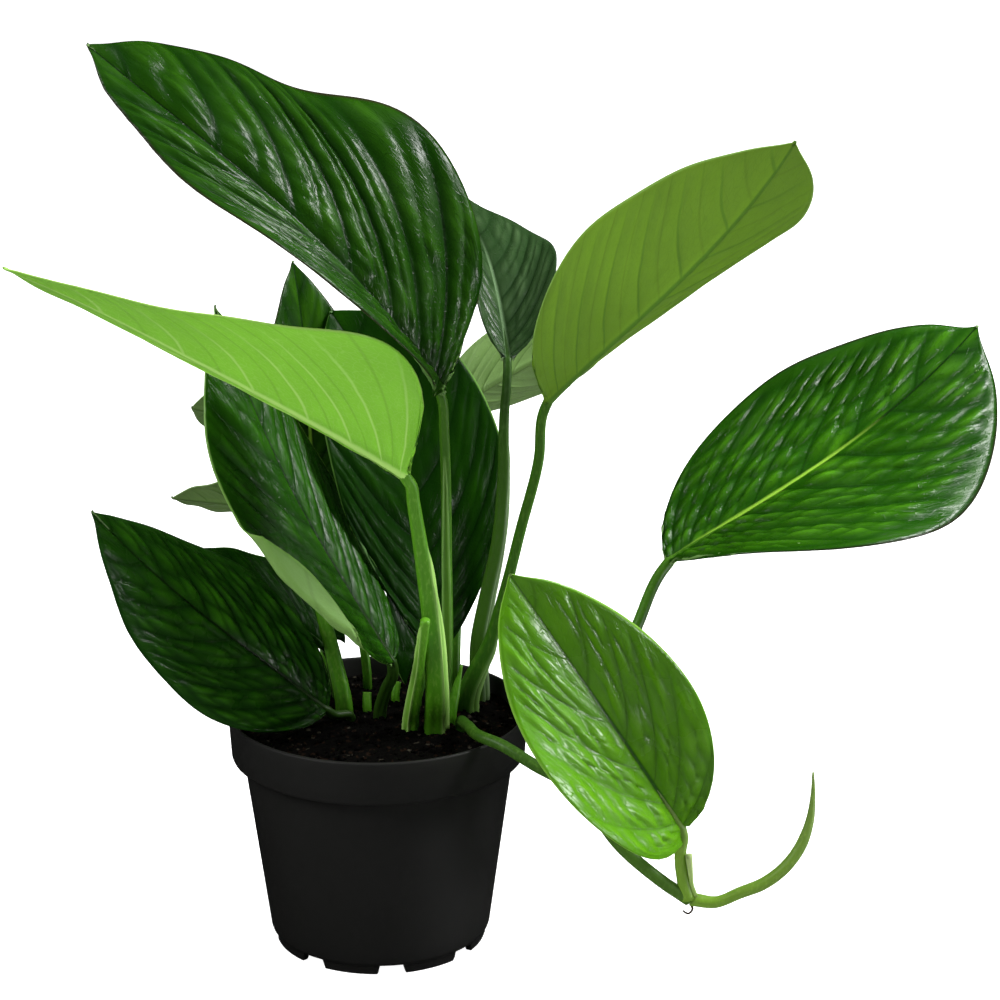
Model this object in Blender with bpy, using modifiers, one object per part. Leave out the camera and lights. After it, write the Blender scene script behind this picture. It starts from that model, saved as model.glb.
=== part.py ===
"""Potted monstera: a young plant with entire, quilted leaves in a 12 cm nursery pot.

Sizes and places are in millimetres from the pot's base centre, +Z up and +X to the right, and
angles are in degrees. They are turned into metres when a mesh is made.
"""

import math
from dataclasses import dataclass

import bmesh
import bpy
import numpy as np

MM = 0.001

# Where the pot stands, so that the whole plant is centred over the origin
POT_AT = (-60.1, -12.2)

# Pot
POT_HEIGHT = 97.0
RIM_RADIUS = 60.0
BAND_FOOT = 79.0
BAND_RADIUS = 59.0
BODY_TOP_RADIUS = 54.4
BODY_FOOT_RADIUS = 44.6
WALL = 1.3
LIP = 1.7
FOOT_RADIUS = 43.0
FOOT_WIDTH = 3.0
FOOT_HEIGHT = 4.4
FLOOR = 1.4
NOTCHES = 8
NOTCH_WIDTH = 10.0
NOTCH_START = -82.0
DRAIN_RADIUS = 3.0
DRAIN_RING = 33.0
POT_STEPS = 56

# Soil
GAP = 0.3
SOIL_EDGE = 89.5
SOIL_MOUND = 2.5
SOIL_LUMPS = 0.5
SOIL_STEPS = 48
SOCKET_DEPTH = 14.0
SOCKET_CLEARANCE = 0.45

# Leaves
FLAP_TURN = 165.0
FLAP_BEND = 3.0
BASE_HALF_WIDTH = 1.8
BASE_ROUNDING = 8
MARGIN_WAVES = 3
WAIST_SPAN = 0.13
VEIN_LEAD = 0.16
VEIN_SWEEP = 1.6
BLADE_THICKNESS = 0.8
KEEL_THICKNESS = 2.0
STATIONS = 24
SIDE_SAMPLES = 40
STALK_GAP = 0.6
STALK_DROP = 1.1
KNEE = 7.0
STRAIGHT_FOOT = 3.0


@dataclass
class Blade:
    """One leaf blade: its midrib starts at base and is bent along its length, and its sides are cupped."""

    name: str
    base: tuple
    heading: float
    rise: float
    roll: float
    length: float
    width: float
    skew: float = 0.0
    bend: tuple = (10.0, 10.0, 10.0)
    swerve: tuple = (0.0, 0.0)
    twist: float = 0.0
    cup_left: tuple = (15.0, 15.0)
    cup_right: tuple = (15.0, 15.0)
    fullness: float = 0.6
    taper: float = 0.95
    waist_left: tuple = (0.0, 0.5)
    waist_right: tuple = (0.0, 0.5)
    veins: int = 8
    columns: int = 4
    lobe_back: tuple = (0.0, 0.0)
    lobe_out: tuple = (0.0, 0.0)
    flap: float = 0.0
    flap_span: tuple = (0.0, 0.5)
    wave: float = 0.8
    relief: float = 0.9
    colour: tuple = (0.03, 0.12, 0.02)


@dataclass
class Stalk:
    """A leaf stalk, stem or shoot: a round tapering tube along a smooth curve through its points.

    One with a foot starts in its hole in the soil, and one with a blade ends just under that blade's base.
    """

    name: str
    points: tuple
    radii: tuple
    foot: tuple = None
    blade: str = ""
    steps: int = 12
    sides: int = 2
    colour: tuple = (0.12, 0.30, 0.05)
    gap: float = STALK_GAP


DARK = (0.02, 0.09, 0.025)
MID = (0.05, 0.19, 0.03)
BRIGHT = (0.11, 0.34, 0.03)
PALE = (0.22, 0.45, 0.08)

BLADES = (
    Blade("blade_upper_left", (27, -30, 236), 219, 58, -59, 189, 106, skew=0.27, bend=(51, 47, -11),
          swerve=(1, 6), twist=-33, cup_left=(55, 37), cup_right=(36, -54), fullness=0.62,
          taper=0.78, waist_left=(0.18, 0.85), waist_right=(0.15, 0.65), veins=9, wave=1.6, colour=DARK),
    Blade("blade_left_pale", (13, -38, 206), 193, 35, 47, 179, 91, skew=-0.09, bend=(28, 4, 31),
          swerve=(-12, -3), twist=-10, cup_left=(31, -34), cup_right=(52, 25), fullness=0.57,
          taper=1.1, waist_left=(0.12, 0.5), veins=8, relief=0.5, colour=PALE),
    Blade("blade_centre", (7, -14, 122), 171, 60, -9, 157, 79, skew=-0.09, bend=(16, -27, 5),
          swerve=(4, 7), twist=-14, cup_left=(17, -27), cup_right=(-6, -13), fullness=0.62,
          taper=0.94, veins=8, columns=6, flap=11, flap_span=(0.03, 0.39), colour=DARK),
    Blade("blade_centre_back", (19.5, 17, 112), 114, 82, 2, 148, 76, skew=0.17,
          bend=(-14, 42, 46), swerve=(-9, -34), twist=4, cup_left=(1, 9), cup_right=(-4, 19),
          fullness=0.84, taper=0.69, waist_left=(0.38, 0.24), lobe_back=(10, 2), lobe_out=(9, 1),
          veins=7, colour=DARK),
    Blade("blade_young_top", (-27, 32, 166), 88, 88, 38, 105, 53, bend=(7, 16, 28),
          swerve=(3, -4), twist=3, cup_left=(12, 15), cup_right=(12, 16), fullness=0.6,
          taper=0.92, veins=6, columns=3, colour=MID),
    Blade("blade_back", (52, 30, 234), 96, 35, 9, 116, 59, skew=-0.06, bend=(17, 27, 28),
          swerve=(-6, -8), twist=25, cup_left=(55, 16), cup_right=(60, -2), fullness=0.66,
          taper=0.92, veins=7, colour=DARK),
    Blade("blade_upper_right", (67, 0, 225), -19, 45, -28, 163, 83, bend=(25, 8, 12),
          swerve=(24, 32), twist=-35, cup_left=(43, 20), cup_right=(21, 18), fullness=0.68,
          taper=0.87, veins=8, relief=0.5, colour=BRIGHT),
    Blade("blade_back_pale", (28, 53, 206), 36, 22, -78, 90, 50, skew=-0.2, bend=(21, 22, 25),
          swerve=(-1, 3), twist=-16, cup_left=(40, 8), cup_right=(33, 15), fullness=0.57,
          taper=0.97, veins=6, columns=3, relief=0.5, colour=PALE),
    Blade("blade_right", (114, -20, 166), 21, 28, -1, 161, 99, skew=0.18, bend=(22, -17, 11),
          swerve=(0, -34), twist=49, cup_left=(41, 16), cup_right=(16, -25), fullness=0.64,
          taper=0.76, veins=9, relief=1.2, colour=MID),
    Blade("blade_runner", (119, -62, 71), 220, 56, -99, 139, 70, skew=-0.05, bend=(15, 7, 21),
          swerve=(-2, 1), twist=-16, cup_left=(37, 6), cup_right=(19, 3), fullness=0.61,
          taper=0.77, veins=9, relief=1.2, lobe_back=(5, 1), lobe_out=(2, 1), colour=BRIGHT),
    Blade("blade_lower_left", (-20, -7, 99), 205, 44, -58, 135, 66, skew=-0.04, bend=(10, -15, -8),
          swerve=(-8, 17), twist=15, cup_left=(-5, -27), cup_right=(9, -21), fullness=0.71,
          taper=0.92, veins=8, relief=1.1, colour=DARK),
    Blade("blade_low_back", (-22, 30, 112), 198, 48, -20, 72, 44, bend=(10, 20, 20), lobe_back=(0, 9),
          lobe_out=(0, 9), veins=5, columns=3, colour=DARK),
    Blade("blade_back_left", (-38, 52, 163.5), 180, 9, 50, 48, 27, bend=(5, 5, 5), taper=0.8,
          veins=5, columns=3, relief=0.5, colour=PALE),
    Blade("blade_back_left_high", (-32, 54, 195.5), 180, 16, 65, 46, 34, bend=(5, 5, 5), taper=0.6,
          veins=5, columns=3, relief=0.5, colour=PALE),
)

STALKS = (
    Stalk("stalk_upper_left", ((28, -4, 127), (28, -14, 164), (28, -23, 199), (27.5, -27, 221)),
          (2.3, 1.9), foot=(27, 6), blade="blade_upper_left"),
    Stalk("stalk_left_pale", ((23.5, -17, 108), (22, -25, 143), (20, -29, 161), (18, -33, 178),
                              (15.8, -36.5, 195)),
          (4.6, 2.3), foot=(23, -11), blade="blade_left_pale", colour=PALE),
    Stalk("stalk_centre", ((3.5, -6, 107),), (2.7, 2.2), foot=(0.5, 0), blade="blade_centre", steps=9),
    Stalk("stalk_centre_back", ((16.5, 16, 101),), (2.4, 2.0), foot=(14.5, 16), blade="blade_centre_back",
          steps=8),
    Stalk("stalk_young_top", ((-18, 14, 112), (-23, 21, 130), (-27, 28, 150)),
          (3.6, 1.9), foot=(-14, 7), blade="blade_young_top", colour=PALE),
    Stalk("stalk_back", ((40, 26, 116), (43, 27, 133), (48, 28, 158), (50, 29, 183), (50.5, 30, 210)),
          (3.6, 1.7), foot=(40, 27), blade="blade_back", colour=MID),
    Stalk("stalk_upper_right", ((45, 13, 121), (51, 9, 144), (57, 6, 170), (64, 3, 200)),
          (4.6, 2.6, 2.2, 2.1, 2.0), foot=(35, 13), blade="blade_upper_right"),
    Stalk("stalk_back_pale", ((31, 46, 128), (33, 55, 170)), (2.4, 1.8), foot=(30, 40),
          blade="blade_back_pale", steps=10),
    Stalk("stalk_lower_left", (), (2.0, 1.9), foot=(-11, 0), blade="blade_lower_left", steps=8),
    Stalk("stalk_low_back", ((-20, 28, 102),), (1.9, 1.8), foot=(-18, 25), blade="blade_low_back", steps=8),
    Stalk("stalk_back_left", ((-26, 49, 120), (-30, 52, 142)), (1.9, 1.7), foot=(-23, 40),
          blade="blade_back_left", colour=PALE, steps=10),
    Stalk("stalk_back_left_high", ((-12, 44, 130), (-22, 50, 165)), (1.9, 1.7), foot=(-6, 38),
          blade="blade_back_left_high", colour=PALE, steps=10),
    Stalk("sheathed_stalk", ((14.5, -16, 104), (16.5, -22, 118), (19, -31, 138), (20, -34, 146)),
          (3.3, 2.6, 2.0, 1.9), foot=(13.5, -11), colour=BRIGHT, steps=9),
    Stalk("pointed_sheath", ((30, -1, 98), (33.5, 3, 114)), (1.8, 2.0, 0.4), foot=(29.5, -2), colour=PALE,
          steps=7),
    Stalk("cut_stub_left", ((-5, 12, 99),), (1.9, 1.7), foot=(-5, 10), colour=PALE, steps=5),
    Stalk("cut_stub_right", ((7, 24, 99),), (1.8, 1.5), foot=(6, 22), colour=PALE, steps=5),
)

RUNNER_RADIUS = 2.8
RUNNER_FOOT = (33, -10)
RUNNER_POINTS = (
    (36, -24, 98.5), (41, -42, 101.2), (49, -48.5, 100.3), (62, -55, 94.5),
    (76, -58, 87), (85, -60, 77), (95, -62, 64), (107, -63, 53), (116, -63, 46), (122, -62, 42),
)
NODE_ONE = (76, -58, 87)
NODE_TWO = (122, -62, 42)

RUNNER_PIECES = (
    Stalk("stalk_right", ((77.4, -57.3, 91.0), (83, -53, 102), (92, -45, 121), (102, -35, 145)),
          (2.3, 2.2), blade="blade_right", steps=12),
    Stalk("stalk_runner", ((120.4, -61.4, 49.0), (118.6, -60.6, 55), (118.2, -60.4, 61.5)), (2.3, 1.8),
          blade="blade_runner", steps=8, colour=BRIGHT, gap=0.9),
    Stalk("growing_shoot", ((123.5, -62, 41.2), (132.4, -62, 40.3), (141.6, -62, 44.2), (150.6, -61, 47.6),
                            (158, -60, 53), (164.4, -58, 61), (168, -56, 70), (169.6, -53, 81),
                            (169.7, -50, 89.5)),
          (2.6, 2.2, 2.4, 2.4, 2.2, 1.3, 0.6), steps=20, colour=BRIGHT),
    Stalk("cut_sheath", ((123.2, -63.6, 47.3), (122.0, -63.9, 54), (121.6, -63.8, 61.5)), (1.3, 0.9, 1.1, 1.3), steps=5,
          colour=PALE),
    Stalk("air_root", ((120.2, -62.1, 38.7), (121.2, -62, 36.2), (122.8, -62, 35), (123.8, -62, 36.6)),
          (0.7, 0.5), steps=6, colour=(0.09, 0.05, 0.03)),
)


def remove_everything():
    for thing in list(bpy.data.objects):
        bpy.data.objects.remove(thing)


def material(name, colour, roughness):
    made = bpy.data.materials.new(name)
    made.use_nodes = True
    shader = made.node_tree.nodes["Principled BSDF"]
    shader.inputs["Base Color"].default_value = (*colour, 1.0)
    shader.inputs["Roughness"].default_value = roughness
    shader.inputs["Metallic"].default_value = 0.0
    return made


def collection(name):
    made = bpy.data.collections.new(name)
    bpy.context.scene.collection.children.link(made)
    return made


def object_from(name, data, group, colour, roughness):
    """An object for the data, in the group and with its own material, standing where the pot does."""
    made = bpy.data.objects.new(name, data)
    made.location = (POT_AT[0] * MM, POT_AT[1] * MM, 0.0)
    data.materials.append(material(name, colour, roughness))
    group.objects.link(made)
    return made


def as_cutter(thing):
    thing.hide_render = True
    thing.display_type = "WIRE"
    return thing


def cut(thing, cutters):
    """Takes every object of the cutters' collection out of the thing."""
    modifier = thing.modifiers.new("cut", "BOOLEAN")
    modifier.operation = "DIFFERENCE"
    modifier.operand_type = "COLLECTION"
    modifier.collection = cutters
    modifier.solver = "EXACT"


def cylinder(name, radius, depth, centre, group, sides=14):
    """A closed cylinder along Z whose middle is at centre."""
    mesh = bpy.data.meshes.new(name)
    shape = bmesh.new()
    bmesh.ops.create_cone(shape, cap_ends=True, segments=sides, radius1=radius * MM, radius2=radius * MM,
                          depth=depth * MM)
    shape.to_mesh(mesh)
    shape.free()
    made = object_from(name, mesh, group, (0.5, 0.5, 0.5), 0.5)
    made.location = tuple(made.location[i] + centre[i] * MM for i in range(3))
    return made


def block(name, size, centre, turn, group):
    """A closed box, turned about Z by turn degrees, whose middle is at centre."""
    mesh = bpy.data.meshes.new(name)
    shape = bmesh.new()
    bmesh.ops.create_cube(shape, size=1.0)
    bmesh.ops.scale(shape, vec=tuple(s * MM for s in size), verts=shape.verts)
    shape.to_mesh(mesh)
    shape.free()
    made = object_from(name, mesh, group, (0.5, 0.5, 0.5), 0.5)
    made.location = tuple(made.location[i] + centre[i] * MM for i in range(3))
    made.rotation_euler = (0.0, 0.0, math.radians(turn))
    return made


def turned(name, profile, steps, group, colour, roughness):
    """A profile of (radius, height) points turned about Z, its ends on the axis."""
    mesh = bpy.data.meshes.new(name)
    points = [(r * MM, 0.0, z * MM) for r, z in profile]
    mesh.from_pydata(points, [(i, i + 1) for i in range(len(points) - 1)], [])
    made = object_from(name, mesh, group, colour, roughness)
    screw = made.modifiers.new("turn", "SCREW")
    screw.axis = "Z"
    screw.steps = steps
    screw.render_steps = steps
    screw.use_merge_vertices = True
    screw.merge_threshold = 0.00005
    screw.use_normal_calculate = True
    return made


def body_radius(height):
    """Outer radius of the tapering pot body at a height."""
    share = (height - FOOT_HEIGHT) / (BAND_FOOT - FOOT_HEIGHT)
    return BODY_FOOT_RADIUS + (BODY_TOP_RADIUS - BODY_FOOT_RADIUS) * share


def make_pot(parts, cutters):
    floor_top = FOOT_HEIGHT + FLOOR
    profile = (
        (0.0, floor_top),
        (body_radius(floor_top) - WALL, floor_top),
        (BODY_TOP_RADIUS - WALL, BAND_FOOT),
        (BAND_RADIUS - WALL, BAND_FOOT + 1.6),
        (RIM_RADIUS - LIP, POT_HEIGHT - 0.8),
        (RIM_RADIUS - LIP + 0.4, POT_HEIGHT),
        (RIM_RADIUS - 0.4, POT_HEIGHT),
        (RIM_RADIUS, POT_HEIGHT - 0.8),
        (BAND_RADIUS, BAND_FOOT + 0.6),
        (BAND_RADIUS - 0.5, BAND_FOOT),
        (BODY_TOP_RADIUS + 0.5, BAND_FOOT - 0.3),
        (body_radius(BAND_FOOT - 1.5), BAND_FOOT - 1.5),
        (BODY_FOOT_RADIUS, FOOT_HEIGHT + 1.0),
        (BODY_FOOT_RADIUS - 0.7, FOOT_HEIGHT - 0.4),
        (FOOT_RADIUS, FOOT_HEIGHT - 1.0),
        (FOOT_RADIUS - 0.5, 0.0),
        (FOOT_RADIUS - FOOT_WIDTH, 0.0),
        (FOOT_RADIUS - FOOT_WIDTH, FOOT_HEIGHT),
        (0.0, FOOT_HEIGHT),
    )
    pot = turned("pot", profile, POT_STEPS, parts, (0.012, 0.012, 0.013), 0.5)
    for i in range(NOTCHES):
        angle = NOTCH_START + i * 360.0 / NOTCHES
        direction = (math.cos(math.radians(angle)), math.sin(math.radians(angle)))
        middle = FOOT_RADIUS - FOOT_WIDTH / 2
        as_cutter(block(f"notch_cut_{i}", (FOOT_WIDTH + 3.6, NOTCH_WIDTH, 2 * FOOT_HEIGHT - 0.6),
                        (direction[0] * middle, direction[1] * middle, 0.0), angle, cutters))
        as_cutter(cylinder(f"drain_cut_{i}", DRAIN_RADIUS, 6.0,
                           (direction[0] * DRAIN_RING, direction[1] * DRAIN_RING, FOOT_HEIGHT + FLOOR / 2),
                           cutters, sides=10))
    cut(pot, cutters)
    return pot


def soil_height(x, y):
    """Top of the soil: a low mound with gentle lumps, in millimetres."""
    mound = SOIL_MOUND * (1.0 - (x * x + y * y) / (RIM_RADIUS * RIM_RADIUS))
    lumps = np.sin(0.31 * x + 1.3) * np.cos(0.27 * y + 0.4) + 0.6 * np.sin(0.53 * x - 0.47 * y)
    return SOIL_EDGE + mound + SOIL_LUMPS * lumps


def make_soil(parts, cutters, sockets):
    floor = FOOT_HEIGHT + FLOOR + GAP
    side = (
        (0.0, floor),
        (body_radius(floor) - WALL - GAP, floor),
        (BODY_TOP_RADIUS - WALL - GAP, BAND_FOOT),
        (BAND_RADIUS - WALL - GAP, BAND_FOOT + 2.1),
    )
    top_radius = BAND_RADIUS - WALL - GAP
    rings = [(r, None) for r in np.linspace(top_radius, 0.0, 7)]
    angles = np.linspace(0.0, 2.0 * math.pi, SOIL_STEPS, endpoint=False)
    points, loops = [], []
    for radius, height in list(side) + rings:
        if radius == 0.0:
            z = height if height is not None else float(soil_height(0.0, 0.0))
            loops.append([len(points)] * SOIL_STEPS)
            points.append((0.0, 0.0, z))
            continue
        x, y = radius * np.cos(angles), radius * np.sin(angles)
        z = np.full(SOIL_STEPS, height) if height is not None else soil_height(x, y)
        loops.append(list(range(len(points), len(points) + SOIL_STEPS)))
        points.extend(zip(x, y, z))
    faces = []
    for low, high in zip(loops[:-1], loops[1:]):
        for i in range(SOIL_STEPS):
            j = (i + 1) % SOIL_STEPS
            if low[i] != low[j]:
                faces.append((low[i], low[j], high[i]))
            if high[i] != high[j]:
                faces.append((low[j], high[j], high[i]))
    mesh = bpy.data.meshes.new("soil")
    mesh.from_pydata([tuple(float(c) * MM for c in p) for p in points], [], faces)
    soil = object_from("soil", mesh, parts, (0.02, 0.012, 0.008), 0.95)
    for name, (x, y), radius in sockets:
        top = SOIL_EDGE + 8.0
        bottom = SOIL_EDGE - SOCKET_DEPTH - GAP
        as_cutter(cylinder(f"socket_{name}", radius + SOCKET_CLEARANCE, top - bottom,
                           (x, y, (top + bottom) / 2), cutters, sides=10))
    cut(soil, cutters)
    return soil


def start_frame(blade):
    """Directions at the midrib's start, as columns: along it, out of the upper face, and to its right."""
    h, r, o = (math.radians(a) for a in (blade.heading, blade.rise, blade.roll))
    along = np.array([math.cos(r) * math.cos(h), math.cos(r) * math.sin(h), math.sin(r)])
    up = np.array([-math.sin(r) * math.cos(h), -math.sin(r) * math.sin(h), math.cos(r)])
    right = np.array([math.sin(h), -math.cos(h), 0.0])
    return np.stack([along, math.cos(o) * up + math.sin(o) * right,
                     math.cos(o) * right - math.sin(o) * up], 1)


def small_turns(angle, first, second):
    """Rotations by each angle in the plane of two of a frame's own directions, as a stack of matrices."""
    turns = np.tile(np.eye(3), (len(angle), 1, 1))
    turns[:, first, first] = np.cos(angle)
    turns[:, second, second] = np.cos(angle)
    turns[:, second, first] = np.sin(angle)
    turns[:, first, second] = -np.sin(angle)
    return turns


def midrib(blade):
    """Places and frames along the midrib.

    The frame is carried along in equal steps. Each step bends it down about its right side, swerves it
    about its upper side and twists it about itself, by the blade's rates at that share of its length.
    """
    share = (np.arange(STATIONS) + 0.5) / STATIONS
    bend = np.radians(np.interp(share, (0.0, 0.5, 1.0), blade.bend)) / STATIONS
    swerve = np.radians(np.interp(share, (0.0, 1.0), blade.swerve)) / STATIONS
    twist = np.full(STATIONS, math.radians(blade.twist) / STATIONS)
    steps = small_turns(-bend, 0, 1) @ small_turns(swerve, 0, 2) @ small_turns(twist, 1, 2)
    frames = [start_frame(blade)]
    for step in steps:
        frames.append(frames[-1] @ step)
    frames = np.array(frames)
    along = frames[:, :, 0]
    moves = (along[1:] + along[:-1]) / 2 * blade.length / STATIONS
    places = np.array(blade.base, float) + np.concatenate([np.zeros((1, 3)), np.cumsum(moves, 0)])
    return np.linspace(0.0, 1.0, STATIONS + 1), places, frames


def half_width(blade, share):
    """Half the blade's width: narrow at the stalk, t**fullness * (1-t)**taper scaled to its full width."""
    t = np.clip(share, 0.0, 1.0)
    widest = blade.fullness / (blade.fullness + blade.taper)
    peak = widest**blade.fullness * (1.0 - widest)**blade.taper
    bulge = t**blade.fullness * (1.0 - t)**blade.taper / peak
    return BASE_HALF_WIDTH * (1.0 - t) + (blade.width / 2 - BASE_HALF_WIDTH) * bulge


def blade_side(blade, rows, sign):
    """Points of one side of the upper face, from the midrib out: the left one has sign -1.

    A row follows a side vein: it leaves the midrib at u and meets the margin further on, at
    u + lead * 4u(1-u). Across it, the surface climbs at an angle that grows from 0.4 to 1.6 of the
    side's cup. The margin waves, and the skin between two side veins is raised by half a cosine.
    A waist draws the margin in by a share of the width at a place. A flap is a stretch of the left
    margin that is wider and turned over onto the upper face.
    """
    station, places, frames = midrib(blade)
    side = 0 if sign < 0.0 else 1
    cup = (blade.cup_left, blade.cup_right)[side]
    u = rows[:, None]
    v = np.linspace(0.0, 1.0, SIDE_SAMPLES + 1)[None, :]
    near_base = (1.0 - u)**BASE_ROUNDING
    margin = u + VEIN_LEAD * 4.0 * u * (1.0 - u)
    reach = u + (margin - u) * v**VEIN_SWEEP - blade.lobe_back[side] / blade.length * near_base * v**3
    depth, place = (blade.waist_left, blade.waist_right)[side]
    waist = 1.0 - depth * np.exp(-((margin - place) / WAIST_SPAN)**2)
    half = half_width(blade, margin) * (1.0 + sign * blade.skew) * waist + blade.lobe_out[side] * near_base
    low, high = blade.flap_span
    flap = (1 - side) * blade.flap * np.sin(math.pi * np.clip((u - low) / (high - low), 0.0, 1.0))**2

    def along_midrib(values):
        return np.stack([np.interp(reach, station, values[:, k]) for k in range(3)], -1)

    centre = along_midrib(places) + frames[0, :, 0] * (np.minimum(reach, 0.0) * blade.length)[..., None]
    up, right = along_midrib(frames[:, :, 1]), along_midrib(frames[:, :, 2])
    across = (half + flap) * v
    angle = np.radians(cup[0] + (cup[1] - cup[0]) * reach) * (0.4 + 1.2 * across / (blade.width / 2))
    fold = np.clip((across - half + FLAP_BEND) / (2.0 * FLAP_BEND), 0.0, 1.0)
    angle = angle + math.radians(FLAP_TURN) * fold * np.minimum(1.0, flap / FLAP_BEND)
    step = np.diff(across, axis=1)
    middle = (angle[:, 1:] + angle[:, :-1]) / 2
    start = np.zeros((len(rows), 1))
    out = np.concatenate([start, np.cumsum(np.cos(middle) * step, 1)], 1)
    lift = np.concatenate([start, np.cumsum(np.sin(middle) * step, 1)], 1)
    ripple = blade.relief * (1.0 - np.cos(2.0 * math.pi * blade.veins * u)) / 2.0 * 4.0 * v * (1.0 - v)
    wave = blade.wave * v**2 * np.sin(MARGIN_WAVES * 2.0 * math.pi * u + (0.6, 2.1)[side])
    lift = lift + wave * half / (blade.width / 2) + ripple * np.minimum(1.0, half / 8.0)
    return centre + right * (sign * out)[..., None] + up * lift[..., None]


def blade_surface(blade, rows, samples):
    """Points of the upper face, as an array of rows from base to tip by samples from left to right."""
    pick = np.round(np.linspace(0, SIDE_SAMPLES, samples + 1)).astype(int)
    left, right = (blade_side(blade, rows, sign)[:, pick] for sign in (-1.0, 1.0))
    return np.concatenate([left[:, ::-1], right[:, 1:]], 1)


def make_blade(blade, parts):
    """A blade is its upper face, made thicker downwards: most along the midrib, which stands out below."""
    count = 2 * blade.veins
    rows = np.linspace(0.0, 1.0, count + 1)
    grid = blade_surface(blade, rows, blade.columns)
    wide = grid.shape[1]
    points = np.concatenate([grid[:-1].reshape(-1, 3), grid[-1, blade.columns][None]])
    tip = len(points) - 1
    faces = []
    for i in range(count):
        for j in range(wide - 1):
            a, b = i * wide + j, i * wide + j + 1
            if i == count - 1:
                faces.append((a, b, tip))
                continue
            c, d = a + wide, b + wide
            faces.extend(((a, b, d), (a, d, c)) if j < blade.columns else ((a, b, c), (b, d, c)))
    mesh = bpy.data.meshes.new(blade.name)
    mesh.from_pydata([tuple(float(c) * MM for c in p) for p in points], [], faces)
    made = object_from(blade.name, mesh, parts, blade.colour, 0.35)
    thick = made.vertex_groups.new(name="thick")
    least = BLADE_THICKNESS / KEEL_THICKNESS
    for i in range(len(points)):
        row, column = divmod(i, wide)
        keel = 1.0 - (1.0 - least) * row / count if column == blade.columns and i != tip else least
        thick.add([i], keel, "REPLACE")
    shell = made.modifiers.new("thickness", "SOLIDIFY")
    shell.thickness = KEEL_THICKNESS * MM
    shell.offset = -1.0
    shell.vertex_group = "thick"
    return made


def smooth_path(points, steps, knee=0.0, upright=False):
    """Even points on a smooth curve through the given ones, and four closer ones in the last knee mm.

    The curve is a cubic between each two points. Its direction at a point is the mean of the two
    chords there, the shorter chord counting more. An upright curve starts straight up.
    """
    given = np.array(points, float)
    chord = np.diff(given, axis=0)
    length = np.linalg.norm(chord, axis=1)[:, None]
    slope = chord / length
    inner = (slope[:-1] * length[1:] + slope[1:] * length[:-1]) / (length[:-1] + length[1:])
    first = np.array([[0.0, 0.0, 1.0]]) if upright else slope[:1]
    heading = np.concatenate([first, inner, slope[-1:]])
    t = np.linspace(0.0, 1.0, 16, endpoint=False)[None, :, None]
    fine = (given[:-1, None] * (1 - t)**2 * (1 + 2 * t) + given[1:, None] * t**2 * (3 - 2 * t)
            + length[:, None] * (heading[:-1, None] * t * (1 - t)**2 - heading[1:, None] * t**2 * (1 - t)))
    fine = np.concatenate([fine.reshape(-1, 3), given[-1:]])
    reach = np.concatenate([[0.0], np.cumsum(np.linalg.norm(np.diff(fine, axis=0), axis=1))])
    wanted = np.linspace(0.0, reach[-1] - knee, steps + 1)
    if knee:
        wanted = np.concatenate([wanted, reach[-1] - knee * np.array([0.65, 0.35, 0.15, 0.0])])
    return np.stack([np.interp(wanted, reach, fine[:, k]) for k in range(3)], 1)


def rooted_path(foot, points, steps, knee=0.0):
    """A path that stands straight in its socket in the soil and is smooth from there on."""
    x, y = foot
    above = smooth_path([(x, y, SOIL_EDGE + STRAIGHT_FOOT)] + points, steps, knee, upright=True)
    return np.concatenate([[(x, y, SOIL_EDGE - SOCKET_DEPTH)], above])


def stalk_path(stalk, blades):
    """The stalk's path, from its foot in the soil to just under its blade's base."""
    points = [tuple(map(float, p)) for p in stalk.points]
    if stalk.blade:
        blade = blades[stalk.blade]
        frame = start_frame(blade)
        base = np.array(blade.base, float) - frame[:, 1] * STALK_DROP
        points += [tuple(base - frame[:, 0] * (stalk.gap + 3.0)), tuple(base - frame[:, 0] * stalk.gap)]
    knee = KNEE if stalk.blade else 0.0
    if stalk.foot:
        return rooted_path(stalk.foot, points, stalk.steps, knee)
    return smooth_path(points, stalk.steps, knee)


def make_tube(name, path, radii, parts, colour, sides=2):
    """A round tube along the path, its radius going evenly through the given radii, with closed ends."""
    curve = bpy.data.curves.new(name, "CURVE")
    curve.dimensions = "3D"
    curve.bevel_depth = MM
    curve.bevel_resolution = sides
    curve.use_fill_caps = True
    spline = curve.splines.new("POLY")
    spline.points.add(len(path) - 1)
    share = np.linspace(0.0, 1.0, len(path))
    sizes = np.interp(share, np.linspace(0.0, 1.0, len(radii)), radii)
    for point, place, size in zip(spline.points, path, sizes):
        point.co = (*(float(c) * MM for c in place), 1.0)
        point.radius = float(size)
    return object_from(name, curve, parts, colour, 0.4)


def make_stalk(stalk, blades, parts):
    return make_tube(stalk.name, stalk_path(stalk, blades), stalk.radii, parts, stalk.colour, stalk.sides)


def make_runner(parts):
    """The runner's radius swells a little at its two nodes."""
    path = rooted_path(RUNNER_FOOT, list(RUNNER_POINTS), 34)
    sizes = np.full(len(path), RUNNER_RADIUS)
    for node in (NODE_ONE, NODE_TWO):
        sizes = sizes + 0.5 * np.exp(-(np.linalg.norm(path - np.array(node), axis=1) / 4.0)**2)
    return make_tube("runner", path, sizes, parts, MID)


def main():
    remove_everything()
    parts = collection("potted_monstera")
    pot_cutters = collection("pot_cutters")
    soil_cutters = collection("soil_cutters")
    blades = {blade.name: blade for blade in BLADES}
    make_pot(parts, pot_cutters)
    sockets = [(s.name, s.foot, s.radii[0]) for s in STALKS] + [("runner", RUNNER_FOOT, RUNNER_RADIUS)]
    make_soil(parts, soil_cutters, sockets)
    for blade in BLADES:
        make_blade(blade, parts)
    for stalk in STALKS + RUNNER_PIECES:
        make_stalk(stalk, blades, parts)
    make_runner(parts)


main()
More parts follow.
